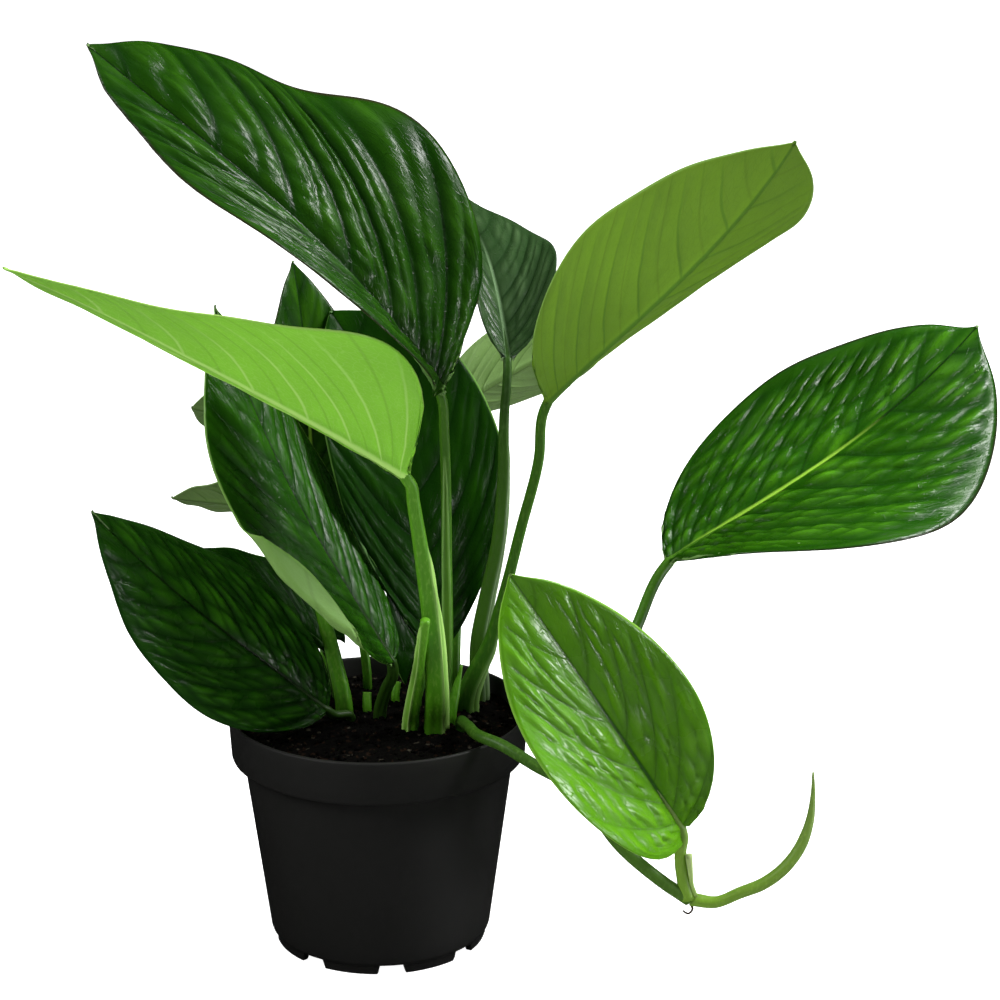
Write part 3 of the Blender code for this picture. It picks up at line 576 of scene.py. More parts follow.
def quilt(leaf, detail, seed, beat, across, size, sign):
    """The relief between side veins: its height in millimetres, and how far a point is raised, which
    the colour turns into painted highlights on the crests and painted shade in the valleys.

    Between two veins the skin is puffed up as a power of the beat's sine, with a shallow valley half
    way. Sines of the distance out, shifted from panel to panel and bent by smooth noise, cut it into
    puckers. They end at the collector vein near the margin, and finer noise roughens them.
    """
    local = np.abs(np.sin(math.pi * beat))
    bent = leaf_noise(BENDING, beat, sign * across, seed + 2)
    strip = np.floor(2.0 * beat + 0.25 * bent)
    shift = np.mod(np.sin(strip * 12.99 + sign * 4.7 + seed) * 437.58, 1.0)
    cross = np.abs(np.sin(math.pi * (across / detail.pucker + shift + 0.55 * bent)))**PUCKER_POWER
    valley = bell(np.cos(math.pi * beat + 0.4 * bent), VALLEY_SPAN)
    puckered = 1.0 - PUCKER_DEPTH * leaf.pucker * (1.0 - cross)
    dome = local**DOME_POWER * puckered * (1.0 - leaf.split * valley)
    beyond = rising(size - COLLECTOR, 0.03) * leaf.pucker
    bulge = np.sin(math.pi * rising(size - COLLECTOR, 1.0 - COLLECTOR))
    dome = dome * (1.0 - beyond) + 0.5 * beyond * bulge
    cells = leaf_noise(CELLS, beat, sign * across, seed)
    cells = cells + 0.6 * leaf_noise(FINE_CELLS, beat, sign * across, seed + 1)
    blister = detail.blister * (0.3 + 1.3 * leaf.pucker) * cells * local**0.5
    collector = leaf.pucker * bell(size - COLLECTOR, COLLECTOR_SPAN)
    # Painted highlight and shade: how raised a point is, less at the collector vein, sets how far the colour
    # goes to the lighter crest colour
    rise = np.clip(dome * (0.85 + 0.3 * cells) * (1.0 - 0.7 * collector), 0.0, 1.0)
    return leaf.puff * detail.puff * dome + blister, rise


def leaf_grid(leaf, detail, seed):
    """The leaf's upper face with its relief, and the pattern coordinates of every point.

    A row follows a side vein: it leaves the midrib at u, runs forward at a slant and curls further
    forward, and meets the margin well ahead. The rows and the veins are closer together near the base.
    """
    rows = detail.rows_per_vein * max(leaf.veins, LEAST_VEINS)
    u = np.linspace(0.0, 1.0, rows + 1)[:, None]**ROW_CROWDING
    side = np.linspace(0.0, 1.0, detail.columns + 1)**COLUMN_CROWDING
    v = np.concatenate([-side[:0:-1], side])[None, :]
    size = np.abs(v)
    margin = np.minimum(u + detail.vein_lead * leaf.lead * (1.0 - u) * u / (u + LEAD_START), 1.0)
    row = row_at_margin(margin)
    slant = VEIN_SLANT * size + VEIN_CURL * size**VEIN_CURL_POWER
    back = np.where(v < 0.0, *leaf.lobe_back) / leaf.length
    reach = u + (margin - u) * slant - back * near_base(row) * size**3
    width = full_reach(leaf, row, v < 0.0)
    reach, across, left = np.broadcast_arrays(reach, size * width, v < 0.0)
    smooth = skin(leaf, reach, across, left)
    beat = leaf.veins * u**VEIN_CROWDING + np.where(left, 0.0, RIGHT_SIDE_LAG)
    height, rise = quilt(leaf, detail, seed, beat, across, size, np.where(left, -1.0, 1.0))
    room = rising(width, FULL_RELIEF) * (rising(across, CALM_MIDRIB) * rising(1.0 - size, CALM_MARGIN)**0.5)
    groove = -detail.groove * bell(across, GROOVE_SPAN) * (1.0 - 0.6 * u)
    grid = smooth + surface_normals(smooth) * (height * room + groove)[..., None]
    # rise carries the painted highlight of the crests, and the side scales carry the painted light and shade
    # of each half
    pattern = {"beat": beat, "reach": v, "across": across, "share": reach, "rise": rise,
               "tone": np.interp(v, (-PAINTED_LIGHT_SPAN, PAINTED_LIGHT_SPAN), leaf.tone)}
    return grid, {name: np.broadcast_to(values, across.shape) for name, values in pattern.items()}


def leaf_mesh(leaf, detail, seed):
    """A closed blade: the upper face, a face a little below it with a keel and raised veins, and a rim."""
    grid, pattern = leaf_grid(leaf, detail, seed)
    u, across = np.clip(pattern["share"], 0.0, 1.0), pattern["across"]
    near = np.exp(-u / 0.14)
    keel = detail.keel * (1.0 - 0.8 * u + 1.4 * near) * bell(across, 1.4 + 1.2 * near)
    off_vein = np.abs(np.sin(math.pi * pattern["beat"]))
    raised = detail.raised_vein * bell(off_vein, 0.12) * rising(across, 3.0)
    thick = detail.thickness + keel + raised * (1.0 - np.abs(pattern["reach"]))
    lower = grid - surface_normals(grid) * thick[..., None]
    rows, columns = grid.shape[:2]
    points = np.concatenate([grid.reshape(-1, 3), lower.reshape(-1, 3)])
    index = np.arange(rows * columns).reshape(rows, columns)
    a, b, c, d = index[:-1, :-1], index[:-1, 1:], index[1:, 1:], index[1:, :-1]
    top = np.stack([a, d, c, b], -1).reshape(-1, 4)
    under = top[:, ::-1] + rows * columns
    loop = np.concatenate([index[0, :], index[1:, -1], index[-1, -2::-1], index[-2:0:-1, 0]])
    after = np.roll(loop, -1)
    rim = np.stack([after, loop, loop + rows * columns, after + rows * columns], -1)
    layers = {name: np.tile(values.ravel(), 2) for name, values in pattern.items()}
    layers["under"] = np.repeat([0.0, 1.0], rows * columns)
    return points, np.concatenate([top, under, rim]).tolist(), layers


# Meshes

def to_frame(points):
    """Millimetres from the pot's base centre to metres in the model's frame."""
    return (np.asarray(points, float) + (*POT_AT, 0.0)) * MM


def piece(name, points, faces, material, layers=None):
    """An object at the origin for the points in pot millimetres, smooth and closed, with its layers.

    Points that meet are merged, and faces with no area left are dropped.
    """
    mesh = bpy.data.meshes.new(name)
    mesh.from_pydata(to_frame(points).tolist(), [], faces)
    for layer, values in (layers or {}).items():
        made = mesh.attributes.new(layer, "FLOAT", "POINT")
        made.data.foreach_set("value", np.asarray(values, np.float32))
    shape = bmesh.new()
    shape.from_mesh(mesh)
    bmesh.ops.remove_doubles(shape, verts=shape.verts, dist=0.00002)
    bmesh.ops.dissolve_degenerate(shape, edges=shape.edges, dist=0.000005)
    bmesh.ops.recalc_face_normals(shape, faces=shape.faces)
    shape.to_mesh(mesh)
    shape.free()
    mesh.shade_smooth()
    mesh.materials.append(material)
    made = bpy.data.objects.new(name, mesh)
    bpy.context.scene.collection.objects.link(made)
    return made


def smooth_path(points, steps, upright=False):
    """Even points on a smooth curve through the given ones: cubics whose slopes are the chords' means."""
    given = np.array(points, float)
    chord = np.diff(given, axis=0)
    length = np.linalg.norm(chord, axis=1)[:, None]
    slope = chord / length
    inner = (slope[:-1] * length[1:] + slope[1:] * length[:-1]) / (length[:-1] + length[1:])
    first = np.array([[0.0, 0.0, 1.0]]) if upright else slope[:1]
    heading = np.concatenate([first, inner, slope[-1:]])[:, None]
    t = np.linspace(0.0, 1.0, 24, endpoint=False)[None, :, None]
    fine = cubic(given[:-1, None], given[1:, None], heading[:-1], heading[1:], length[:, None], t)
    fine = np.concatenate([fine.reshape(-1, 3), given[-1:]])
    reach = np.concatenate([[0.0], np.cumsum(np.linalg.norm(np.diff(fine, axis=0), axis=1))])
    wanted = np.linspace(0.0, reach[-1], steps + 1)
    return np.stack([np.interp(wanted, reach, fine[:, k]) for k in range(3)], 1)


def carried_frames(path):
    """Two directions across the path at each point, carried along it without turning about it."""
    along = np.gradient(path, axis=0)
    along /= np.linalg.norm(along, axis=1, keepdims=True)
    side = np.cross(along[0], (0.0, 1.0, 0.0))
    sides = []
    for direction in along:
        side = side - direction * np.dot(side, direction)
        side = side / np.linalg.norm(side)
        sides.append(side)
    sides = np.array(sides)
    return sides, np.cross(along, sides)


def ring_walls(rings, sides):
    """The points' numbers on rings of that many sides, those one step round, and the quads between rings."""
    index = np.arange(rings * sides).reshape(rings, sides)
    after = np.roll(index, -1, axis=1)
    return index, after, np.stack([index[:-1], after[:-1], after[1:], index[1:]], -1).reshape(-1, 4)


def tube_mesh(path, radii, sides, groove=0.0, sheath=()):
    """A closed tube: rings of the given radii along the path, flattened a little where it is grooved.

    A sheath's two margins are ridges on the ring, bells of the angle at either side of its opening.
    They draw together and sink into the stalk at the sheath's top.
    """
    first, second = carried_frames(path)
    turn = np.linspace(0.0, 2.0 * math.pi, sides, endpoint=False)
    share = np.linspace(0.0, 1.0, len(path))
    scale = np.tile(1.0 - groove * bell(angle_from(turn, math.pi / 2), 0.5), (len(path), 1))
    edge, channel = np.zeros_like(scale), np.zeros_like(scale)
    if sheath:
        top, facing, opening = sheath
        left = np.clip(top - share, 0.0, 1.0)[:, None]
        strength = rising(left, 0.05)**0.5
        half = math.radians(opening) * rising(left, 0.35)**0.5
        apart = np.abs(angle_from(turn, math.radians(facing)))
        edge = strength * bell(apart - half, 0.14)
        channel = strength * rising(half - apart, 0.15)
        scale = scale * (1.0 + 0.30 * edge - 0.12 * channel)
    ring = (first[:, None] * (np.cos(turn) * scale)[:, :, None]
            + second[:, None] * (np.sin(turn) * scale)[:, :, None])
    grid = path[:, None] + ring * np.asarray(radii)[:, None, None]
    points = np.concatenate([grid.reshape(-1, 3), path[:1], path[-1:]])
    index, after, walls = ring_walls(len(path), sides)
    start = len(path) * sides
    faces = walls.tolist()
    faces += [(start, int(after[0, i]), int(index[0, i])) for i in range(sides)]
    faces += [(start + 1, int(index[-1, i]), int(after[-1, i])) for i in range(sides)]
    layers = {
        "share": np.concatenate([np.repeat(share, sides), [0.0, 1.0]]),
        "edge": np.concatenate([edge.ravel(), [0.0, 0.0]]),
        "channel": np.concatenate([channel.ravel(), [0.0, 0.0]]),
    }
    return points, faces, layers


def run_on_path(leaf):
    """The stretch of a stalk that runs on below its leaf's midrib, in line with it."""
    station, places, frames = midrib(leaf)
    share = np.linspace(0.0, 0.2, 24)[1:]
    drop = STALK_DROP + 0.3 * share
    return soft_interp(share, station, places) - soft_interp(share, station, frames[:, :, 1]) * drop[:, None]


def stem_path(stem):
    """The stem's path up to its end or its leaf, and the stretch that runs on below the leaf."""
    points = [tuple(map(float, p)) for p in stem.points]
    run_on = np.zeros((0, 3))
    if stem.leaf:
        leaf = LEAF_OF_NAME[stem.leaf]
        base_frame = start_frame(leaf)
        base = np.array(leaf.base, float) - base_frame[:, 1] * STALK_DROP
        toward = base - np.array(points[-1] if points else (*stem.foot, SOIL_EDGE), float)
        blend = base_frame[:, 0] + 1.6 * toward / np.linalg.norm(toward)
        points += [tuple(base - blend / np.linalg.norm(blend) * (stem.gap + 4.0)), tuple(base)]
        run_on = run_on_path(leaf)
    if stem.foot:
        points = [(*stem.foot, SOIL_EDGE + STRAIGHT_FOOT)] + points
    long = sum(math.dist(a, b) for a, b in zip(points[:-1], points[1:]))
    path = smooth_path(points, max(10, int(long / 1.6)), upright=bool(stem.foot))
    if stem.foot:
        path = np.concatenate([[(*stem.foot, SOIL_EDGE - SOCKET_DEPTH)], path])
    return path, run_on


def stem_radii(stem, path, run_on):
    """Radii go evenly through the stem's own ones, and shrink along the stretch below the leaf."""
    share = np.linspace(0.0, 1.0, len(path))
    radii = np.interp(share, np.linspace(0.0, 1.0, len(stem.radii)), stem.radii)
    if len(run_on):
        tail = np.linspace(1.0, 0.0, len(run_on) + 1)[1:]
        radii = np.concatenate([radii, stem.radii[-1] * (0.12 + 0.62 * tail**0.8)])
    return radii


# Node helpers

def plug(tree, value, socket):
    """Links an output to the socket, or sets the socket to a plain value."""
    if isinstance(value, bpy.types.NodeSocket):
        tree.links.new(value, socket)
    else:
        socket.default_value = value


def node(tree, kind, settings=None, **sockets):
    """A node of the kind with its settings. Its sockets go by name, or by number as i0, i1 and so on."""
    made = tree.nodes.new(kind)
    for key, value in (settings or {}).items():
        setattr(made, key, value)
    for key, value in sockets.items():
        numbered = key[0] == "i" and key[1:].isdigit()
        plug(tree, value, made.inputs[int(key[1:]) if numbered else key.replace("_", " ")])
    return made


def maths(tree, operation, a, b=0.0, clamp=False):
    made = node(tree, "ShaderNodeMath", {"operation": operation, "use_clamp": clamp}, i0=a, i1=b)
    return made.outputs[0]


def ramp(tree, value, start, slope):
    """0 up to the start, then rising with the slope to 1."""
    return maths(tree, "MULTIPLY", maths(tree, "SUBTRACT", value, start), slope, clamp=True)


def falling(tree, value, span, start=1.0):
    """The start less the value over the span, kept between 0 and 1."""
    return maths(tree, "SUBTRACT", start, maths(tree, "DIVIDE", value, span), clamp=True)


def line_mask(tree, beat, width):
    """1 on whole values of beat, falling softly to 0 past the width."""
    turned = maths(tree, "FRACT", maths(tree, "ADD", beat, 0.5))
    away = maths(tree, "ABSOLUTE", maths(tree, "SUBTRACT", turned, 0.5))
    return falling(tree, maths(tree, "SUBTRACT", away, width), LINE_SOFTNESS)


def mix_colour(tree, factor, a, b):
    """Colour a where the factor is 0, and colour b where it is 1."""
    made = node(tree, "ShaderNodeMix", {"data_type": "RGBA"}, i0=factor)
    for index, value in ((6, a), (7, b)):
        plug(tree, (*value, 1.0) if isinstance(value, tuple) else value, made.inputs[index])
    return made.outputs[2]


def tint(tree, colour, other, mask, amount):
    """The colour, with a part of the other one where the mask is."""
    return mix_colour(tree, maths(tree, "MULTIPLY", mask, amount), colour, other)


def scaled(colour, factor):
    return tuple(c * factor for c in colour)


def attribute(tree, name):
    return node(tree, "ShaderNodeAttribute", {"attribute_name": name}).outputs["Fac"]


def own_place(tree):
    return node(tree, "ShaderNodeTexCoord").outputs["Object"]


def noise(tree, place, scale, detail=2.0, output="Fac", **sockets):
    made = node(tree, "ShaderNodeTexNoise", Vector=place, Scale=scale, Detail=detail, **sockets)
    return made.outputs[output]


def blank_material(name):
    made = bpy.data.materials.new(name)
    made.use_nodes = True
    return made, made.node_tree, made.node_tree.nodes["Principled BSDF"]


def finish_shader(tree, shader, colour, roughness, gloss, relief, strength, depth):
    """Gives the shader its colour, roughness and gloss, and a bump of the depth in metres."""
    bump = node(tree, "ShaderNodeBump", Strength=strength, Distance=depth, Height=relief)
    for label, value in (("Base Color", colour), ("Roughness", roughness), ("Specular IOR Level", gloss),
                         ("Normal", bump.outputs[0])):
        plug(tree, value, shader.inputs[label])


# Materials

def leaf_pattern_group():
    """Vein lines, a fine net between them and soft patches, from the leaf's own beat and reach."""
    name = "leaf pattern"
    if name in bpy.data.node_groups:
        return bpy.data.node_groups[name]
    group = bpy.data.node_groups.new(name, "ShaderNodeTree")
    for way, labels in (("INPUT", ("Beat", "Reach", "Across", "Share")),
                        ("OUTPUT", ("Veins", "Midrib", "Net", "Patches", "Height"))):
        for label in labels:
            group.interface.new_socket(label, in_out=way, socket_type="NodeSocketFloat")
    source = group.nodes.new("NodeGroupInput").outputs
    sink = group.nodes.new("NodeGroupOutput").inputs
    beat, reach, across, share = (source[label] for label in ("Beat", "Reach", "Across", "Share"))
    place = own_place(group)
    wobble = maths(group, "MULTIPLY", maths(group, "SUBTRACT", noise(group, place, 60.0), 0.5), VEIN_WOBBLE)
    veins = line_mask(group, maths(group, "ADD", beat, wobble), VEIN_LINE)
    veins = maths(group, "MULTIPLY", veins,
                  falling(group, maths(group, "POWER", maths(group, "ABSOLUTE", reach), 3.0), 1.0))
    half = maths(group, "SUBTRACT", 1.25, maths(group, "MULTIPLY", share, 0.85))
    middle = falling(group, across, maths(group, "MULTIPLY", half, 0.62), start=1.6)
    flat = node(group, "ShaderNodeCombineXYZ", X=maths(group, "MULTIPLY", beat, NET_BEAT),
                Y=maths(group, "DIVIDE", across, NET_LENGTH), Z=maths(group, "SIGN", reach))
    jitter = node(group, "ShaderNodeVectorMath", {"operation": "SCALE"}, Scale=NET_JITTER,
                  i0=noise(group, place, 220.0, 1.0, output="Color"))
    bent = node(group, "ShaderNodeVectorMath", {"operation": "ADD"}, i0=flat.outputs[0], i1=jitter.outputs[0])
    cells = node(group, "ShaderNodeTexVoronoi", {"feature": "DISTANCE_TO_EDGE"}, Scale=NET_SCALE,
                 Vector=bent.outputs[0])
    net = falling(group, cells.outputs["Distance"], NET_LINE)
    patches = ramp(group, noise(group, place, 45.0, 3.0, Roughness=0.6), 0.38, 3.2)
    grain = maths(group, "MULTIPLY", noise(group, place, 900.0), 0.18)
    lines = maths(group, "ADD", maths(group, "MULTIPLY", net, 0.35), maths(group, "MULTIPLY", veins, 0.8))
    height = maths(group, "SUBTRACT", grain, lines)
    for label, value in (("Veins", veins), ("Midrib", middle), ("Net", net), ("Patches", patches),
                         ("Height", height)):
        group.links.new(value, sink[label])
    return group


def upper_skin(tree, finish, pattern, share):
    """Dark skin with painted highlights on its puckers, darker in its veins, and painted light and shade on
    either side of the midrib.
    """
    upper, painted_crest_light, rib = LEAF_FINISHES[finish][:3]
    patchy = maths(tree, "ADD", maths(tree, "MULTIPLY", pattern["Patches"], 0.5), 0.5)
    # Painted highlight: raised puckers take the lighter crest colour, and the valleys between them stay dark
    # as painted shade
    colour = tint(tree, upper, painted_crest_light, maths(tree, "POWER", attribute(tree, "rise"), 1.8), patchy)
    colour = tint(tree, colour, upper, pattern["Net"], 0.35)
    colour = tint(tree, colour, scaled(upper, 0.6), pattern["Veins"], 0.6)
    # Painted light and shade: each side of the midrib is scaled brighter or darker for how the lamps fall on
    # it
    tone = attribute(tree, "tone")
    with_painted_light = node(tree, "ShaderNodeVectorMath", {"operation": "SCALE"}, i0=colour, Scale=tone).outputs[0]
    pale = maths(tree, "MULTIPLY", maths(tree, "SUBTRACT", 0.66, share), 5.0, clamp=True)
    midrib_colour = mix_colour(tree, pale, scaled(upper, 0.5), rib)
    return mix_colour(tree, pattern["Midrib"], with_painted_light, midrib_colour)


def lower_skin(tree, finish, pattern, share):
    """Paler skin with raised veins, darker lines half way between them and a darker tip."""
    below, vein_below = LEAF_FINISHES[finish][3:5]
    colour = tint(tree, below, scaled(below, 0.75), pattern["Patches"], 0.3)
    colour = tint(tree, colour, vein_below, pattern["Net"], 0.2)
    between = line_mask(tree, maths(tree, "ADD", attribute(tree, "beat"), 0.5), BETWEEN_LINE)
    colour = tint(tree, colour, scaled(below, 0.6), between, 0.35)
    lines = maths(tree, "MAXIMUM", maths(tree, "MULTIPLY", pattern["Veins"], 0.75), pattern["Midrib"])
    colour = tint(tree, colour, vein_below, lines, 0.9)
    return mix_colour(tree, ramp(tree, share, 0.45, 0.8), colour, scaled(below, 0.35))


def leaf_material(finish):
    """Waxy leaf skin with its two faces and a thin margin, rougher below."""
    name = f"leaf {finish}"
    if name in bpy.data.materials:
        return bpy.data.materials[name]
    made, tree, shader = blank_material(name)
    share, reach = attribute(tree, "share"), attribute(tree, "reach")
    pattern = node(tree, "ShaderNodeGroup", {"node_tree": leaf_pattern_group()}, Beat=attribute(tree, "beat"),
                   Reach=reach, Across=attribute(tree, "across"), Share=share).outputs
    under = maths(tree, "GREATER_THAN", attribute(tree, "under"), 0.5)
    top, low = (face(tree, finish, pattern, share) for face in (upper_skin, lower_skin))
    edge = ramp(tree, maths(tree, "ABSOLUTE", reach), 0.985, 90.0)
    colour = tint(tree, mix_colour(tree, under, top, low), LEAF_FINISHES[finish][5], edge, 0.8)
    uneven = maths(tree, "MULTIPLY", pattern["Patches"], 0.10)
    above = maths(tree, "ADD", bpy.context.scene.monstera_leaves.roughness, uneven)
    roughness = maths(tree, "ADD", maths(tree, "MULTIPLY", under, 0.25), above)
    finish_shader(tree, shader, colour, roughness, LEAF_GLOSS.get(finish, PLAIN_GLOSS), pattern["Height"],
                  0.3, 0.0005)
    return made


def stem_material(finish):
    """Smooth green stalk: its colour goes from foot to top, with fine pale speckles along it."""
    name = f"stem {finish}"
    if name in bpy.data.materials:
        return bpy.data.materials[name]
    foot, top, speck = STEM_FINISHES[finish]
    made, tree, shader = blank_material(name)
    place, share = own_place(tree), attribute(tree, "share")
    stretched = node(tree, "ShaderNodeMapping", Vector=place, Scale=(1.0, 1.0, 0.35))
    dots = noise(tree, stretched.outputs[0], 900.0)
    colour = mix_colour(tree, share, foot, top)
    colour = tint(tree, colour, speck, attribute(tree, "channel"), 0.6)
    colour = tint(tree, colour, speck, ramp(tree, dots, 0.52, 5.0), 0.5)
    colour = tint(tree, colour, scaled(foot, 0.6), noise(tree, place, 90.0), 0.4)
    # Painted shade: the stem darkens towards its foot, where it meets the soil among the other stems
    if finish in PAINTED_FOOT_SHADE_STEMS:
        colour = tint(tree, colour, scaled(foot, 0.25), falling(tree, share, PAINTED_FOOT_SHADE_SHARE), 0.75)
    ridge = tuple(min(0.7, 1.5 * c + 0.10) for c in speck)
    colour = tint(tree, colour, ridge, attribute(tree, "edge"), 0.85)
    finish_shader(tree, shader, colour, 0.42, 0.2, dots, 0.35, 0.0003)
    return made


def pot_material():
    """Matte moulded black plastic with a fine grain and faint cloudy wear."""
    props = bpy.context.scene.monstera_pot
    made, tree, shader = blank_material("pot plastic")
    place = own_place(tree)
    cloud = noise(tree, place, 35.0, 4.0, Roughness=0.6)
    dark = tuple(props.colour)
    colour = tint(tree, dark, scaled(dark, 1.5), cloud, 0.5)
    roughness = maths(tree, "ADD", props.roughness, maths(tree, "MULTIPLY", cloud, 0.12))
    finish_shader(tree, shader, colour, roughness, 0.22, noise(tree, place, 2600.0), 0.25, 0.00015)
    return made


def soil_material():
    """Damp potting mix: near-black grains with a few reddish and grey ones, rough all over."""
    made, tree, shader = blank_material("potting mix")
    place = own_place(tree)
    dark = tuple(bpy.context.scene.monstera_soil.colour)
    grains = node(tree, "ShaderNodeTexVoronoi", Vector=place, Scale=700.0)
    hue = node(tree, "ShaderNodeSeparateColor", Color=grains.outputs["Color"]).outputs
    colour = mix_colour(tree, hue[0], scaled(dark, 0.5), dark)
    colour = tint(tree, colour, REDDISH_GRAIN, maths(tree, "GREATER_THAN", hue[1], 0.93), 0.7)
    colour = tint(tree, colour, GREY_GRAIN, maths(tree, "GREATER_THAN", hue[2], 0.985), 0.8)
    fine = noise(tree, place, 1500.0, 5.0, Roughness=0.7)
    finish_shader(tree, shader, colour, 0.92, 0.05, fine, 0.8, 0.0006)
    return made


# Building

def settle(made, slot, *nodes):
    """Rides the piece on the plant's one body and hides the solids it stands for. The slot is not used."""
    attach(made, "root")
    if nodes:
        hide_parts(*nodes)


def build_stem(stem, settings, groove):
    path, run_on = stem_path(stem)
    radii = stem_radii(stem, path, run_on)
    whole = np.concatenate([path, run_on])
    points, faces, layers = tube_mesh(whole, radii, settings.sides, groove, stem.sheath)
    made = piece("fine_" + stem.name, points, faces, stem_material(stem.finish), layers)
    settle(made, STEM_SLOTS[stem.finish], stem.name)


def soil_height(x, y):
    """Top of the soil: a low mound with gentle lumps, in millimetres."""
    mound = SOIL_MOUND * (1.0 - (x * x + y * y) / (RIM_RADIUS * RIM_RADIUS))
    lumps = np.sin(0.31 * x + 1.3) * np.cos(0.27 * y + 0.4) + 0.6 * np.sin(0.53 * x - 0.47 * y)
    return SOIL_EDGE + mound + SOIL_LUMPS * lumps


def body_radius(height):
    """Outer radius of the tapering pot body at a height."""
    share = (height - FOOT_HEIGHT) / (BAND_FOOT - FOOT_HEIGHT)
    return BODY_FOOT_RADIUS + (BODY_TOP_RADIUS - BODY_FOOT_RADIUS) * share


def soil_mesh(steps=200, rings=60):
    """The potting mix: a plain underside and side along the pot's inside, and a grainy mound on top."""
    floor = FOOT_HEIGHT + FLOOR + SOIL_GAP
    side = ((0.0, floor), (body_radius(floor) - WALL - SOIL_GAP, floor),
            (BODY_TOP_RADIUS - WALL - SOIL_GAP, BAND_FOOT), (SOIL_RADIUS, BAND_FOOT + 2.1))
    radius = np.concatenate([[r for r, _ in side], np.linspace(SOIL_RADIUS, 0.0, rings)])[:, None]
    angle = np.linspace(0.0, 2.0 * math.pi, steps, endpoint=False)
    x, y = radius * np.cos(angle), radius * np.sin(angle)
    coarse, fine = soft_noise(x / 2.2 + 40, y / 2.2 + 40, 5), soft_noise(x / 1.1 + 40, y / 1.1 + 40, 6)
    z = soil_height(x, y) + (0.55 * coarse + 0.45 * fine) * rising(SOIL_RADIUS - radius, 3.0)
    z[:len(side)] = [[height] for _, height in side]
    return np.stack([x, y, z], -1).reshape(-1, 3), ring_walls(len(radius), steps)[2].tolist()


def crumb_mesh(count):
    """Small uneven lumps: one coarse ball copied, squashed, turned and set on the soil, all at once."""
    ball = bmesh.new()
    bmesh.ops.create_icosphere(ball, subdivisions=1, radius=1.0)
    verts = np.array([v.co[:] for v in ball.verts])
    tris = np.array([[v.index for v in f.verts] for f in ball.faces])
    ball.free()
    rng = np.random.default_rng(3)
    away = (SOIL_RADIUS - 3.0) * np.sqrt(rng.uniform(0.0, 1.0, count))
    turn = rng.uniform(0.0, 2.0 * math.pi, count)
    x, y = away * np.cos(turn), away * np.sin(turn)
    size = 0.35 + 1.1 * rng.uniform(0.0, 1.0, count)**3
    stretch = rng.uniform(0.5, 1.3, (count, 1, 3)) * size[:, None, None]
    bumpy = verts[None] * (1.0 + rng.uniform(-0.25, 0.25, (count, len(verts), 1))) * stretch
    spin = rng.uniform(0.0, 2.0 * math.pi, count)
    c, s = np.cos(spin)[:, None], np.sin(spin)[:, None]
    turned = np.stack([bumpy[..., 0] * c - bumpy[..., 1] * s, bumpy[..., 0] * s + bumpy[..., 1] * c,
                       bumpy[..., 2]], -1)
    centre = np.stack([x, y, soil_height(x, y) + 0.25 * size], -1)
    faces = tris[None] + (np.arange(count) * len(verts))[:, None, None]
    return (turned + centre[:, None]).reshape(-1, 3), faces.reshape(-1, 3).tolist()


def pot_profile():
    """Half of the pot's section as (radius, height), from the floor's middle up, over the rim and back."""
    floor_top = FOOT_HEIGHT + FLOOR
    return (
        (0.0, floor_top),
        (body_radius(floor_top) - WALL - 0.6, floor_top),
        (body_radius(floor_top) - WALL, floor_top + 0.6),
        (BODY_TOP_RADIUS - WALL, BAND_FOOT - 0.5),
        (BODY_TOP_RADIUS - WALL + 0.6, BAND_FOOT + 0.3),
        (BAND_RADIUS - WALL - 0.6, BAND_FOOT + 1.2),
        (BAND_RADIUS - WALL, BAND_FOOT + 2.0),
        (RIM_RADIUS - LIP, POT_HEIGHT - 0.9),
        (RIM_RADIUS - LIP + 0.15, POT_HEIGHT - 0.35),
        (RIM_RADIUS - LIP + 0.5, POT_HEIGHT),
        (RIM_RADIUS - 0.5, POT_HEIGHT),
        (RIM_RADIUS - 0.15, POT_HEIGHT - 0.35),
        (RIM_RADIUS, POT_HEIGHT - 0.9),
        (BAND_RADIUS, BAND_FOOT + 0.9),
        (BAND_RADIUS - 0.25, BAND_FOOT + 0.2),
        (BAND_RADIUS - 0.9, BAND_FOOT - 0.1),
        (BODY_TOP_RADIUS + 0.7, BAND_FOOT - 0.35),
        (BODY_TOP_RADIUS + 0.15, BAND_FOOT - 0.7),
        (body_radius(BAND_FOOT - 1.6), BAND_FOOT - 1.6),
        (BODY_FOOT_RADIUS, FOOT_HEIGHT + 1.6),
        (BODY_FOOT_RADIUS - 0.35, FOOT_HEIGHT + 0.5),
        (BODY_FOOT_RADIUS - 1.1, FOOT_HEIGHT - 0.4),
        (FOOT_RADIUS, FOOT_HEIGHT - 1.2),
        (FOOT_RADIUS - 0.15, 0.8),
        (FOOT_RADIUS - 0.5, 0.0),
        (FOOT_RADIUS - FOOT_WIDTH + 0.3, 0.0),
        (FOOT_RADIUS - FOOT_WIDTH, 0.5),
        (FOOT_RADIUS - FOOT_WIDTH, FOOT_HEIGHT),
        (0.0, FOOT_HEIGHT),
    )


def dense_profile(profile, longest):
    """The same profile with points added so that no stretch is longer than the given length."""
    dense = [profile[0]]
    for a, b in zip(profile[:-1], profile[1:]):
        count = max(1, int(math.ceil(math.dist(a, b) / longest)))
        dense += [(a[0] + (b[0] - a[0]) * k / count, a[1] + (b[1] - a[1]) * k / count)
                  for k in range(1, count + 1)]
    return dense


